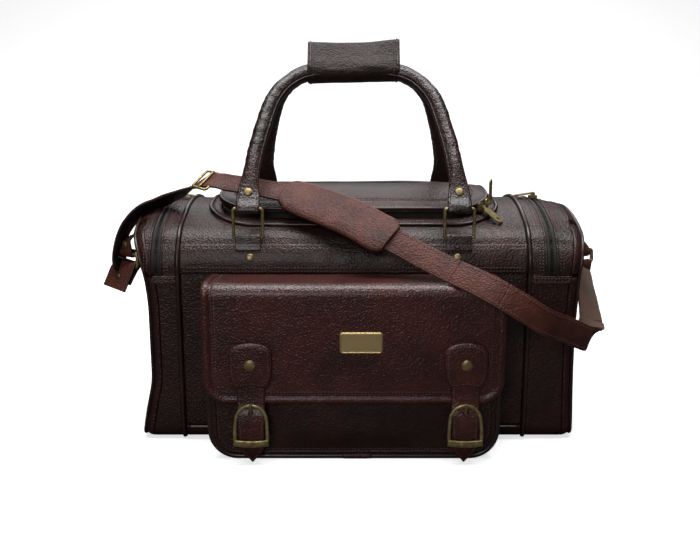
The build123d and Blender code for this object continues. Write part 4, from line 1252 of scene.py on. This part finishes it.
for side, label in ((-1, "left"), (1, "right")):
    cx = side * CLOSURE_X + CLOSURE_SHIFT
    arch = [(cx + TAB_HALF * math.cos(a), TAB_TOP + 9.5 * math.sin(a)) for a in np.linspace(0, math.pi, 15)]
    half_tab = ((TAB_HALF, 98), (20.5, 90), (17.5, 82.5), (15.6, 80.4))
    tab = arch + [(cx - dx, z) for dx, z in half_tab] + [(cx, 81.6)]
    tab += [(cx + dx, z) for dx, z in reversed(half_tab)]
    spine = ((cx, 97), (cx, 108))
    plate(f"{label}_closure_tab", tab, spine, lambda x, z: TAB_FRONT, 3.6, "flap",
          "pocket_flap", ["closure_tabs"] if side < 0 else (), puff=0.9)
    edge = border(tab, 3.4, spine)
    stitch("pocket_flap", [(x, -TAB_FRONT - 0.7, z) for x, z in edge], to_front(len(edge)), spacing=2.9)
    half_tip = ((14.6, 112), (14.2, 70), (13.4, 30), (12.6, 16), (8.5, 7), (3.4, 3))
    tip = [(cx + dx, z) for dx, z in half_tip] + [(cx, -1.5)]
    tip += [(cx - dx, z) for dx, z in reversed(half_tip)]
    spine = ((cx, 14), (cx, 100))
    plate(f"{label}_closure_strap", tip, spine, strap_front, 2.4, "flap", "pocket_flap",
          ["closure_straps"] if side < 0 else (), puff=0.5)
    edge = [(x, z) for x, z in border(tip, 2.6, spine) if z < 78]
    seam = [(x, -strap_front(x, z) - 0.35, z) for x, z in edge]
    stitch("pocket_flap", seam, to_front(len(edge)), spacing=2.7)
    # buckle: an arched frame closed by a wide flat bar, with a bar behind the strap for the prong
    arch = [(cx - 16.2, 23.5), (cx - 16.4, 32), (cx - 15.9, 42)]
    arch += [(cx - 15.4 * math.cos(a), 46 + 15.6 * math.sin(a)) for a in np.linspace(0.1, math.pi - 0.1, 21)]
    arch += [(cx + 15.9, 42), (cx + 16.4, 32), (cx + 16.2, 23.5)]
    arch = smooth_line(arch, 90)
    lean = np.array([(x, -(176.9 + 3.4 * float(smoothstep(62 - z, 2, 36))), z) for x, z in arch])
    wire = sweep(f"{label}_buckle_arch", lean, rounded_box_section(3.6, 3.0, 1.3), MATERIALS["brass"],
                 to_front(len(lean)))
    bar_line = np.array([(cx + t * 17.6, -181.6 + 0.5 * t**2, 23.8 - 1.3 * (1 - t**2))
                         for t in np.linspace(-1, 1, 26)])
    bar = sweep(f"{label}_buckle_bar", bar_line, rounded_box_section(6.6, 2.8, 0.7), MATERIALS["brass"],
                to_front(26))
    pin_line = np.array([(cx + dx, BUCKLE_PIN_Y, BUCKLE_PIN_Z) for dx in (-15.5, 15.5)])
    pin = sweep(f"{label}_buckle_pin", pin_line, round_section(1.2, 10), MATERIALS["dark_brass"])
    for part in (wire, bar, pin):
        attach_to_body(part, "pocket_flap")
    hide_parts(*(["buckle_frames"] if side < 0 else []))
    prong_line = smooth_line([(cx, -TAB_FRONT, BUCKLE_PIN_Z), (cx, -176.0, 42), (cx, -176.4, 50),
                              (cx, -178.4, 56), (cx, -179.6, 60), (cx, -179.4, 64.4)], 24)
    prong = sweep(f"{label}_buckle_prong", prong_line, round_section(1.25, 10), MATERIALS["brass"],
                  to_front(24))
    attach(prong, f"prong_{label}", [f"{label}_prong"])
    # The punched hole is not cut: a near-black ring on the strap's face is painted shade for it.
    hole_y = -strap_front(cx, EYELET_Z) - 0.35
    hole_line = [(cx + 2.2 * math.cos(a), hole_y, EYELET_Z + 2.4 * math.sin(a))
                 for a in np.linspace(0, 2 * math.pi, 18, endpoint=False)]
    hole = sweep(f"{label}_strap_hole_shade", hole_line, round_section(0.7, 8), MATERIALS["dark"],
                 to_front(18), closed=True)
    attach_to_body(hole, "pocket_flap")

# Blank brass plate with a raised rim, and domed rivets
plate_low, plate_high = box_mm("nameplate")
rim_x, rim_z = (plate_high[0] - plate_low[0]) / 2, (plate_high[2] - plate_low[2]) / 2
mid_z = (plate_high[2] + plate_low[2]) / 2
mid_x = (plate_high[0] + plate_low[0]) / 2
plate_loop = [(x + mid_x, z + mid_z) for x, z in rounded_loop(rim_x, rim_z, 2.6, 6, 8)]
plate_spine = ((mid_x - rim_x + rim_z, mid_z), (mid_x + rim_x - rim_z, mid_z))
plate("nameplate_blank", plate_loop, plate_spine, lambda x, z: FLAP_FRONT + 1.5, 1.6,
      "plate", "pocket_flap", ["nameplate"], puff=0.25)
rim_loop = rounded_loop(rim_x - 1.3, rim_z - 1.3, 1.6, 6, 8)
rim = sweep("nameplate_rim", [(x + mid_x, -FLAP_FRONT - 1.9, z + mid_z) for x, z in rim_loop],
            round_section(0.7, 8), MATERIALS["plate"], closed=True)
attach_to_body(rim, "pocket_flap")


def dome(name, body, centre, normal, radius, height, material="brass", nodes=()):
    """Rivet head: a low dome with a turned edge."""
    normal = np.array(normal, float) / np.linalg.norm(normal)
    side = np.cross(normal, [1.0, 0, 0] if abs(normal[0]) < 0.9 else [0, 1.0, 0])
    side /= np.linalg.norm(side)
    other = np.cross(normal, side)
    profile = ((1.0, -0.6), (1.0, 0.25), (0.93, 0.5), (0.75, 0.78), (0.5, 0.93), (0.25, 0.99), (0.02, 1.0))
    verts, width = [], 28
    for share, up in profile:
        for a in np.linspace(0, 2 * math.pi, width, endpoint=False):
            reach = (side * math.cos(a) + other * math.sin(a)) * radius * share
            verts.append(np.array(centre) + reach + normal * up * height)
    faces = capped_faces(len(profile), width)
    obj = new_mesh(name, verts, faces, MATERIALS[material])
    return attach(obj, body, nodes)


for side, label in ((-1, "left"), (1, "right")):
    centre = (side * CLOSURE_X + CLOSURE_SHIFT, -177.0, RIVET_Z)
    dome(f"{label}_closure_rivet", "pocket_flap", centre, (0, -1, 0), 5.7, 2.1)
    (px, py, pz), (_, ny, nz) = on_body(side * CLOSURE_X, (band_runs[0] + band_runs[1]) / 2 + 1, 2.1)
    dome(f"{label}_band_rivet", "bag", (px, py, pz), (0, ny, nz), 4.1, 1.6,
         nodes=["band_rivets"] if side < 0 else ())


# ---------------------------------------------------------------- carry handles
RING_LOW, RING_HIGH = box_mm("front_rings")
RING_WIRE = 1.75
HANDLE_X = 110.0
BAR_Y = -(RING_LOW[1] + RING_HIGH[1]) / 2
BAR_TOP = RING_HIGH[2] - RING_WIRE
BAR_LOW = RING_LOW[2] + RING_WIRE
GRIP_Y = 11.5
GRIP_Z = 392.0
GRIP_HALF = box_mm("front_grip")[1][0]
TUBE = 8.7
LEAN = np.array([0.0, BAR_Y - GRIP_Y, GRIP_Z - BAR_TOP])
LEG = np.linalg.norm(LEAN)
LEAN = LEAN / LEG


def handle_frame(side):
    """Origin on the rings' upper bars, direction up the handle and direction facing outward."""
    up = np.array([0, -side * LEAN[1], LEAN[2]])
    out = np.array([0, side * LEAN[2], LEAN[1]])
    return np.array([0, side * BAR_Y, BAR_TOP]), up, out


def handle_line():
    """A handle's centre line and shape: x, height up it, half width, half thickness, squareness."""
    stations = (
        (HANDLE_X, -4.6, 12.0, 1.2, 4.5),
        (HANDLE_X, -4.0, 12.2, 3.0, 4.5),
        (HANDLE_X, 1.0, 12.4, 4.4, 4.5),
        (HANDLE_X, 9.0, 12.4, 3.4, 4.2),
        (HANDLE_X, 19.0, 11.4, 3.2, 3.8),
        (HANDLE_X - 0.4, 28.0, 10.0, 4.2, 3.0),
        (HANDLE_X - 1.4, 38.0, 9.0, 6.4, 2.3),
        (HANDLE_X - 3.0, 50.0, TUBE, 8.2, 2.0),
        (HANDLE_X - 6.0, 70.0, TUBE, TUBE, 2.0),
        (HANDLE_X - 12.5, 100.0, TUBE, TUBE, 2.0),
        (HANDLE_X - 21.0, 130.0, TUBE, TUBE, 2.0),
        (HANDLE_X - 34.0, 151.0, TUBE, TUBE, 2.0),
        (HANDLE_X - 52.0, 164.5, TUBE, TUBE, 2.0),
        (HANDLE_X - 74.0, LEG - 0.5, TUBE, TUBE, 2.0),
        (HANDLE_X - 95.0, LEG, TUBE, TUBE, 2.0),
    )
    dense = smooth_line(stations, 200)
    mirrored = dense[::-1] * np.array([-1, 1, 1, 1, 1])
    return np.vstack([dense, mirrored])


def build_handle(side, body, label):
    """Rolled leather handle that flattens into a riveted tab round each ring, seamed on its inside."""
    origin, up, out = handle_frame(side)
    line = handle_line()
    middle = np.array([origin + [x, 0, 0] + up * h for x, h in line[:, :2]])
    tangent = np.gradient(middle, axis=0)
    tangent /= np.linalg.norm(tangent, axis=1, keepdims=True)
    width = 36
    angles = np.linspace(0, 2 * math.pi, width, endpoint=False)
    verts = []
    for k, (x, h, half, thick, square) in enumerate(line):
        across = np.cross(tangent[k], out)
        soft = float(smoothstep(h, 26, 60))
        for a in angles:
            c, s = math.cos(a), math.sin(a)
            reach_x = math.copysign(abs(c) ** (2 / square), c) * half
            reach_y = math.copysign(abs(s) ** (2 / square), s) * thick
            p = middle[k] + across * reach_x + out * reach_y
            crease = 0.55 * ripple(x * 0.7 + a * 5, h * 1.8, side * 30 + s * 6, 9, 3.0) * soft
            crease += 0.5 * ripple(x, h, side * 11 + c * 8, 26, 1.0) * soft
            crease += 0.25 * ripple(x, h, c * 5, 6, 4.0) * (1 - soft) * min(1.0, thick / 3)
            verts.append(p + (across * c + out * s) * crease)
    rows = len(line)
    faces = capped_faces(rows, width)
    obj = new_mesh(f"{label}_handle_leather", verts, faces, MATERIALS["handle"])
    attach(obj, body, [f"{label}_handle"])
    # raw seam along the inside of the roll, and stitched tab edges
    keep = [k for k in range(rows) if line[k][1] > 26]
    seam_points, seam_out = [], []
    for k in keep:
        across = np.cross(tangent[k], out)
        seam_points.append(middle[k] + across * (line[k][2] + 0.3) * -0.82 + out * line[k][3] * 0.57)
        seam_out.append(-across * 0.7 + out * 0.7)
    seam = sweep(f"{label}_handle_seam", seam_points, rounded_box_section(1.6, 3.0, 0.6),
                 MATERIALS["handle"], seam_out)
    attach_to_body(seam, body)
    for end in (-1, 1):
        for edge in (-1, 1):
            points, directions = [], []
            for k in range(rows):
                x, h, half, thick, _ = line[k]
                if 3 < h < 34 and x * end > 0:
                    points.append(middle[k] + [edge * (half - 2.6), 0, 0] + out * (thick + 0.1))
                    directions.append(out)
            stitch(body, points, directions, spacing=2.9)
        rivet = origin + [end * HANDLE_X, 0, 0] + up * 18.0 + out * 3.3
        dome(f"{label}_handle_rivet_{'right' if end > 0 else 'left'}", body, rivet, out, 4.6, 1.6,
             nodes=[f"{label}_handle_rivets"] if end < 0 else ())


def build_grip(side, body, label):
    """One half of the leather wrap round both handles: a curved sheet with stitched ends."""
    profile = smooth_line(((-0.5, 30.5), (-3.2, 29.8), (-7.4, 24), (-13.2, 15.5), (-19.4, 7.5), (-22.3, 0.5),
                           (-20.8, -6.5), (-16.0, -11.2), (-9.0, -12.8), (-0.5, -12.9)), 44)
    columns = eased(56, 0.012) * 2 * GRIP_HALF - GRIP_HALF
    points = np.zeros((len(profile), len(columns), 3))
    for i, (y, h) in enumerate(profile):
        for j, x in enumerate(columns):
            share = x / GRIP_HALF
            rise = 1.0 + 0.09 * share**2 + 0.05 * share
            sag = 0.0 if h > 0 else 1.2 * share
            squeeze = 1.0 + 0.04 * math.sin(x / 13.0) * (h > 2)
            crumple = 0.7 * ripple(x, h * 1.4, side * 7, 19, 6.6)
            height = GRIP_Z + h * (rise if h > 0 else 1.0) + sag + crumple * 0.6
            points[i, j] = (x, -side * (y * squeeze), height)
            points[i, j, 1] += side * crumple * 0.5 if abs(y) > 3 else 0.0
    normals = grid_normals(points)
    centre = np.array([0, side * 9.0, GRIP_Z + 5])
    reference = points - centre
    reference[..., 0] = 0
    normals *= np.sign(np.sum(normals * reference, axis=2, keepdims=True) + 1e-9)
    obj = sheet(f"{label}_grip_leather", points, normals, 2.2, MATERIALS["grip"], "handle_leather")
    attach(obj, body, [f"{label}_grip"])
    for j in (5, len(columns) - 6):
        stitch(body, points[2:-2, j], normals[2:-2, j], spacing=3.0)
    stitch(body, points[3, 4:-4], normals[3, 4:-4], spacing=3.0)
    for j in (3, len(columns) - 4):
        cord(f"{label}_grip_edge_{'left' if j < 9 else 'right'}", body, points[1:-1, j], normals[1:-1, j],
             1.0, "handle")


for side, body, label in ((-1, "handle_front", "front"), (1, "handle_rear", "rear")):
    build_handle(side, body, label)
    build_grip(side, body, label)

# Leather loops that tie the rings to the shoulders
LOOP_HALF = 13.2
for side in (-1, 1):
    centre_y, centre_z = side * (HALF_DEPTH - SHOULDER_RADIUS), WALL_TOP
    for x in (-HANDLE_X, HANDLE_X):
        bar = np.array([side * BAR_Y, BAR_LOW])
        from_centre = bar - [centre_y, centre_z]
        angle = math.atan2(from_centre[1], abs(from_centre[0]))
        out = np.array([side * math.cos(angle), math.sin(angle)])
        along = np.array([side * math.sin(angle), -math.cos(angle)])
        outer = []
        for t in np.linspace(0, 1, 7):
            turn = angle - (0.13 + 0.13 * t)
            radius = SHOULDER_RADIUS + 5.6 - 1.4 * t
            outer.append((centre_y + side * radius * math.cos(turn), centre_z + radius * math.sin(turn)))
        around = [bar + 4.5 * (out * math.cos(a) - along * math.sin(a))
                  for a in np.linspace(-0.5, math.pi + 0.1, 16)]
        section = [tuple(p) for p in outer[::-1]] + [tuple(p) for p in around]
        radius = SHOULDER_RADIUS + 0.4
        for u in np.linspace(0.06, 1, 6):
            a = angle - 0.26 * u
            section.append((centre_y + side * radius * math.cos(a), centre_z + radius * math.sin(a)))
        section = np.array(section)
        middle = section.mean(axis=0)
        stations = ((-1.0, 0.9), (-0.985, 0.97), (-0.95, 1.0), (-0.5, 1.0), (0, 1.0), (0.5, 1.0),
                    (0.95, 1.0), (0.985, 0.97), (1.0, 0.9))
        verts = []
        for share, size in stations:
            for y, z in middle + (section - middle) * size:
                verts.append((x + share * LOOP_HALF, y, z + 0.3 * ripple(x + share * 9, y, z, 6, 2.2)))
        faces = capped_faces(len(stations), len(section))
        name = f"{'front' if side < 0 else 'rear'}_ring_loop_{'left' if x < 0 else 'right'}"
        obj = new_mesh(name, verts, faces, MATERIALS["handle"])
        attach(obj, "bag", ["handle_ring_loops"] if name == "front_ring_loop_left" else ())
        seam_y, seam_z = outer[2]
        seam = [(x + t, seam_y + out[0] * 0.2, seam_z + out[1] * 0.2) for t in np.linspace(-11, 11, 9)]
        stitch("bag", seam, facing((0, out[0], out[1]), 9), spacing=2.9)


# ---------------------------------------------------------------- side tabs, rings and the shoulder strap
SIDE_RING_LOW, SIDE_RING_HIGH = box_mm("right_strap_ring")
SIDE_RING_X = (SIDE_RING_LOW[0] + SIDE_RING_HIGH[0]) / 2
SIDE_RING_Y = (SIDE_RING_LOW[1] + SIDE_RING_HIGH[1]) / 2
SIDE_BAR_TOP = SIDE_RING_HIGH[2] - RING_WIRE
SIDE_BAR_LOW = SIDE_RING_LOW[2] + RING_WIRE
RING_TURN = math.radians(-60)
RING_HALF = 16.0
STRAP_WIDTH = 27.0


def padded_section(width, thickness, puff):
    """Flat strap section whose outer side swells by puff."""
    across = np.linspace(1, -1, 17)
    top = [(t * width / 2, thickness / 2 + puff * (1 - abs(t) ** 4)) for t in across]
    return np.array(top + [(-width / 2, -thickness / 2), (0, -thickness / 2), (width / 2, -thickness / 2)])


def ribbon(name, stations, width, thickness, top, under, count, body=None, blend_to=None, puff=0.0,
           crease=0.0, widths=None, nodes=()):
    """Flat strap through stations of (point, outer facing): an outer and an under layer, edge stitched.

    It rides one body; when blend_to gives (a, b, start, end) it rides no body."""
    rows = smooth_line([(*point, *facing) for point, facing in stations], count)
    points, outward = rows[:, :3], rows[:, 3:]
    outward = outward / np.linalg.norm(outward, axis=1, keepdims=True)
    if crease:
        for k in range(count):
            points[k] += outward[k] * crease * ripple(*points[k], 17, 5.5)
    _, side, up = line_frames(points, outward)
    scale = np.ones((count, 2))
    if widths is not None:
        scale[:, 0] = np.interp(np.linspace(0, 1, count), widths[0], widths[1])
    layer = thickness / 2
    layers = (("outer", top, layer / 2, 1.0), ("under", under, -layer / 2, 0.985))
    for suffix, material, offset, share in layers:
        section = rounded_box_section(width * share, layer + 0.25, min(layer * 0.45, 1.2), 3)
        if puff and suffix == "outer":
            section = padded_section(width, layer + 0.25, puff)
        obj = sweep(f"{name}_{suffix}", points + up * offset, section, MATERIALS[material], outward,
                    scale=scale)
        if blend_to:
            bend(obj, *blend_to)
        else:
            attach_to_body(obj, body)
    if nodes:
        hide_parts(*nodes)
    for edge in (-1, 1):
        wide = scale[:, :1] * (width / 2 - 3.0)
        line = points + side * edge * wide + up * (layer + 0.15 + puff * 0.35)
        rows_of = stitch_rows.setdefault((body or name, "thread"), [])
        rows_of.append((resample(np.hstack([line, up]), 3.3), 3.3, 0.12))
    if blend_to:
        strap_spans[name] = blend_to


for side, label in ((-1, "left"), (1, "right")):
    across = np.array([side * math.sin(RING_TURN), -math.cos(RING_TURN), 0])
    outward = np.array([side * math.cos(RING_TURN), math.sin(RING_TURN), 0])
    wall = wall_x(side, 222)
    top_bar = np.array([side * SIDE_RING_X, SIDE_RING_Y, SIDE_BAR_TOP])
    # side tab: sewn to the wall, twisting down to the ring's upper bar and folded round it
    stations = [
        ((side * (wall - 1.5), SIDE_RING_Y + 14, 228), (side, 0, 0.15)),
        ((side * (wall + 3.5), SIDE_RING_Y + 11, 217), (side, -0.1, 0.2)),
        (tuple(top_bar + outward * 0.5 + [side * -1.5, 3, 15]), (side * 0.85, -0.5, 0.1)),
        (tuple(top_bar + outward * 2.9 + [0, 0, 3]), tuple(outward + [0, 0, 0.1])),
        (tuple(top_bar + outward * 2.2 + [0, 0, -2.4]), tuple(outward * 0.7 + [0, 0, -0.7])),
        (tuple(top_bar + [0, 0, -3.6]), (0, 0, -1)),
        (tuple(top_bar - outward * 2.2 + [0, 0, -2.4]), tuple(-outward * 0.7 + [0, 0, -0.7])),
        (tuple(top_bar - outward * 2.9 + [0, 0, 4]), tuple(-outward)),
    ]
    ribbon(f"{label}_side_tab", stations, 21.0, 2.2, "strap", "dark", 70, body="bag",
           nodes=["side_tabs"] if side < 0 else ())
    dome(f"{label}_side_rivet", "bag", tuple(top_bar + outward * 3.4 + [side * -0.5, 1, 9.5]),
         (side * 0.75, -0.7, 0.1), 4.2, 1.8)
    # ring turned on its tab
    drop = SIDE_BAR_TOP - SIDE_BAR_LOW
    loop = rounded_loop(RING_HALF, drop / 2, 2.6, 6, 6)
    tilt = 2.5
    ring_points = [
        top_bar + across * u + np.array([0, 0, v - drop / 2 - tilt * u / RING_HALF])
        + outward * 0.12 * (drop / 2 - v)
        for u, v in loop
    ]
    obj = sweep(f"{label}_strap_ring_wire", ring_points, round_section(2.1, 12), MATERIALS["brass"],
                facing(outward, len(ring_points)), closed=True)
    attach(obj, f"ring_{label}", [f"{label}_strap_ring"])
    # strap end folded round the lower bar, riveted
    low_bar = top_bar + outward * 1.5 + np.array([0, 0, -drop])
    lean = outward * (0.5 if side < 0 else 0.0) + np.array([side * 0.2 if side < 0 else -0.1, 0, -1.0])
    lean /= np.linalg.norm(lean)
    stations = [
        (tuple(low_bar - outward * 2.6 + lean * 22), tuple(-outward)),
        (tuple(low_bar - outward * 3.0 + lean * 8), tuple(-outward)),
        (tuple(low_bar - outward * 2.4 - lean * 2.2), tuple(-outward * 0.7 + [0, 0, 0.7])),
        (tuple(low_bar - lean * 3.6), (0, 0, 1)),
        (tuple(low_bar + outward * 2.4 - lean * 2.2), tuple(outward * 0.7 + [0, 0, 0.7])),
        (tuple(low_bar + outward * 3.1 + lean * 6), tuple(outward)),
        (tuple(low_bar + outward * 2.4 + lean * 16), tuple(outward)),
        (tuple(low_bar + outward * 1.0 + lean * (30 if side < 0 else 27)), tuple(outward)),
    ]
    ribbon(f"{label}_strap_end", stations, 32.0 if side < 0 else 24.0, 2.2, "strap", "dark", 80,
           body=f"ring_{label}", nodes=["strap_ends"] if side < 0 else ())
    dome(f"{label}_strap_rivet", f"ring_{label}", low_bar + outward * 4.0 + lean * 15, outward, 3.4, 1.4,
         "dark_brass")

left_run = [
    ((-262, -46, 175), (-0.9, 0.42, 0.05)),
    ((-263, -45.5, 187), (-0.93, 0.36, 0.1)),
    ((-262, -45, 200), (-0.95, 0.28, 0.2)),
    ((-256.5, -45, 214.5), (-0.92, 0.32, 0.3)),
    ((-247, -45, 229.5), (-0.78, 0.44, 0.45)),
    ((-233, -45, 241), (-0.5, 0.56, 0.68)),
    ((-215, -46, 249.5), (-0.3, 0.55, 0.85)),
    ((-195, -48, 258), (-0.25, 0.4, 0.9)),
    ((-178, -51, 267), (-0.1, 0, 0.97)),
    ((-160, -56, 274), (0, -0.4, 0.9)),
    ((-145, -60, 275), (0, -0.55, 0.83)),
    ((-132, -64, 273), (0, -0.62, 0.78)),
    ((-110, -70, 270), (0, -0.62, 0.78)),
    ((-84, -73, 266), (0, -0.66, 0.75)),
    ((-62, -76, 261), (0, -0.66, 0.75)),
]
# Its under layer is the near-black leather, though this strap's back is brown flesh on the right run: the
# black is painted shade where the back turns away from the light.
ribbon("strap_left", left_run, 24.0, 2.6, "strap", "dark", 150, crease=0.8, nodes=["strap_left_run"],
       blend_to=("bag", "handle_front", (-250, -40, 240), (-120, -66, 262)))
pad_run = [
    ((-76, -75, 264), (0, -0.66, 0.75)),
    ((-60, -79, 259), (0, -0.68, 0.73)),
    ((-30, -92, 250.5), (-0.03, -0.7, 0.7)),
    ((0, -106, 240), (-0.03, -0.74, 0.68)),
    ((24, -121, 229), (0, -0.76, 0.65)),
    ((38, -130, 223), (0, -0.78, 0.62)),
]
ribbon("strap_shoulder_pad", pad_run, 45.0, 5.0, "strap", "dark", 90, body="handle_front", puff=2.4,
       crease=0.9, nodes=["strap_pad"],
       widths=((0, 0.05, 0.12, 0.3, 0.86, 0.95, 1), (0.55, 0.72, 0.9, 1, 1, 0.9, 0.72)))
right_knots = [
    ((26, -124, 229), (0, -0.78, 0.62)),
    ((50, -133, 217.5), (0, -0.8, 0.6)),
    ((72, -143, 207), (0, -0.82, 0.57)),
    ((96, -155, 197), (0.02, -0.84, 0.54)),
    ((120, -168, 188), (0.04, -0.88, 0.46)),
    ((142, -178, 178), (0.08, -0.93, 0.35)),
    ((166, -180, 164), (0.12, -0.96, 0.2)),
    ((190, -172, 148), (0.2, -0.96, 0.1)),
    ((214, -157, 136), (0.32, -0.94, 0.02)),
    ((233, -144, 125), (0.45, -0.88, -0.05)),
    ((245, -132, 119), (0.85, -0.45, -0.25)),
    ((251, -118, 122), (0.5, 0.5, -0.6)),
    ((253, -107, 131), (-0.1, 0.85, -0.5)),
]
dense = smooth_line([(*p, *f) for p, f in right_knots], 260)
cuts = (26.0, 100.0, 146.0, 400.0)
spans = (
    ("handle_front", "bag", (36, -128, 224), (92, -153, 199)),
    ("bag", "pocket_flap", (102, -158, 195), (138, -176, 180)),
    ("pocket_flap", "bag", (152, -179, 172), (205, -163, 138)),
)
last = 0
for index, span in enumerate(spans):
    stop = next((k for k in range(last, len(dense)) if dense[k, 0] > cuts[index + 1]), len(dense) - 1)
    part = [(tuple(row[:3]), tuple(row[3:])) for row in dense[last : stop + 1]]
    ribbon(f"strap_right_{index + 1}", part, STRAP_WIDTH, 2.8, "strap", "flesh", len(part),
           blend_to=span, nodes=["strap_right_run"] if index == 0 else ())
    last = stop
return_run = [
    ((253, -107, 131), (-0.1, 0.85, -0.5)),
    ((254, -94, 142), (-0.3, 0.85, -0.45)),
    ((255, -79, 154), (-0.4, 0.85, -0.4)),
    ((256, -62, 166), (-0.5, 0.8, -0.3)),
    ((256, -50, 177), (-0.55, 0.8, -0.2)),
]
ribbon("strap_return", return_run, 25.0, 2.6, "strap", "flesh", 90, body="bag", crease=0.6,
       nodes=["strap_return"])


# Adjuster: a slim wire frame with the strap passing through it and over its middle bar
ADJUSTER = np.array([-160.0, -56.5, 274.5])
adjuster_up = np.array([0.0, -0.5, 0.866])
adjuster_across = np.array([0.42, 0.786, 0.454])
adjuster_along = np.cross(adjuster_across, adjuster_up)
frame_points = [ADJUSTER + adjuster_across * v + adjuster_along * u + adjuster_up * 1.2
                for u, v in rounded_loop(8.5, 15.5, 3.0, 6, 6)]
adjuster = sweep("strap_adjuster_frame", frame_points, round_section(1.5, 12), MATERIALS["brass"],
                 facing(adjuster_up, len(frame_points)), closed=True)
attach(adjuster, "adjuster", ["strap_adjuster"])
middle_bar = [ADJUSTER + adjuster_across * v + adjuster_up * 2.6 for v in np.linspace(-15.5, 15.5, 9)]
bar = sweep("strap_adjuster_bar", middle_bar, round_section(1.4, 10), MATERIALS["brass"])
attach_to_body(bar, "adjuster")


# ---------------------------------------------------------------- stage
def add_light(name, location, target, energy, size):
    """Soft rectangular studio light aimed at a point, in metres."""
    data = bpy.data.lights.new(name, "AREA")
    data.energy = energy
    data.shape = "RECTANGLE"
    data.size, data.size_y = size
    obj = bpy.data.objects.new(name, data)
    bpy.context.scene.collection.objects.link(obj)
    obj.location = location
    obj.rotation_euler = (Vector(target) - Vector(location)).to_track_quat("-Z", "Y").to_euler()


def build_stage():
    """Pale floor curving up behind, soft lights, white surroundings and the camera."""
    floor_mesh = bpy.data.meshes.new("floor")
    steps = 24
    rows = [(-3.0, 0.0), (1.2, 0.0)]
    rows += [(1.2 + math.sin(a), 1.0 - math.cos(a)) for a in np.linspace(0, math.pi / 2, steps)]
    rows += [(2.2, 3.5)]
    verts = [(x, y, z - 0.0004) for y, z in rows for x in (-4.0, 4.0)]
    quads = [(2 * i, 2 * i + 1, 2 * i + 3, 2 * i + 2) for i in range(len(rows) - 1)]
    floor_mesh.from_pydata(verts, [], quads)
    floor_mesh.polygons.foreach_set("use_smooth", [True] * len(floor_mesh.polygons))
    floor = bpy.data.objects.new("floor", floor_mesh)
    bpy.context.scene.collection.objects.link(floor)
    material, tree, bsdf = shader("floor")
    seen = node(tree, "ShaderNodeLightPath").outputs["Is Camera Ray"]
    shades = ((0.0, (0.07, 0.066, 0.063)), (1.0, (0.95, 0.95, 0.95)))
    tree.links.new(ramp(tree, seen, shades), bsdf.inputs["Base Color"])
    bsdf.inputs["Roughness"].default_value = 0.9
    bsdf.inputs["Emission Color"].default_value = (1, 1, 1, 1)
    glow = node(tree, "ShaderNodeMath", operation="MULTIPLY")
    glow.inputs[1].default_value = 0.62
    tree.links.new(seen, glow.inputs[0])
    tree.links.new(glow.outputs[0], bsdf.inputs["Emission Strength"])
    floor_mesh.materials.append(material)
    world = bpy.data.worlds.new("studio")
    world.use_nodes = True
    background = world.node_tree.nodes["Background"]
    seen = node(world.node_tree, "ShaderNodeLightPath").outputs["Is Camera Ray"]
    glow = ramp(world.node_tree, seen, ((0.0, (0.04, 0.04, 0.04)), (1.0, (1.0, 1.0, 1.0))))
    world.node_tree.links.new(glow, background.inputs["Color"])
    bpy.context.scene.world = world
    add_light("top_softbox", (0.0, -0.12, 1.75), (0, 0, 0.15), 36, (1.7, 0.9))
    add_light("front_fill", (-0.5, -2.2, 1.1), (0, 0, 0.15), 12, (0.9, 0.9))
    add_light("back_wash", (0.0, 1.6, 1.5), (0, 0, 0.2), 12, (2.0, 0.8))
    bpy.context.scene.view_settings.view_transform = "Standard"
    camera_data = bpy.data.cameras.new("camera")
    camera_data.sensor_width = 36.0
    camera_data.lens = 44.64
    camera_data.shift_x = -0.0053
    camera = bpy.data.objects.new("camera", camera_data)
    camera.location = (0, -1.0, 0.38)
    camera.rotation_euler = (math.radians(90 - 12.3), 0, 0)
    bpy.context.scene.collection.objects.link(camera)
    bpy.context.scene.camera = camera


build_stitches({"thread": MATERIALS["thread"]})
build_stage()
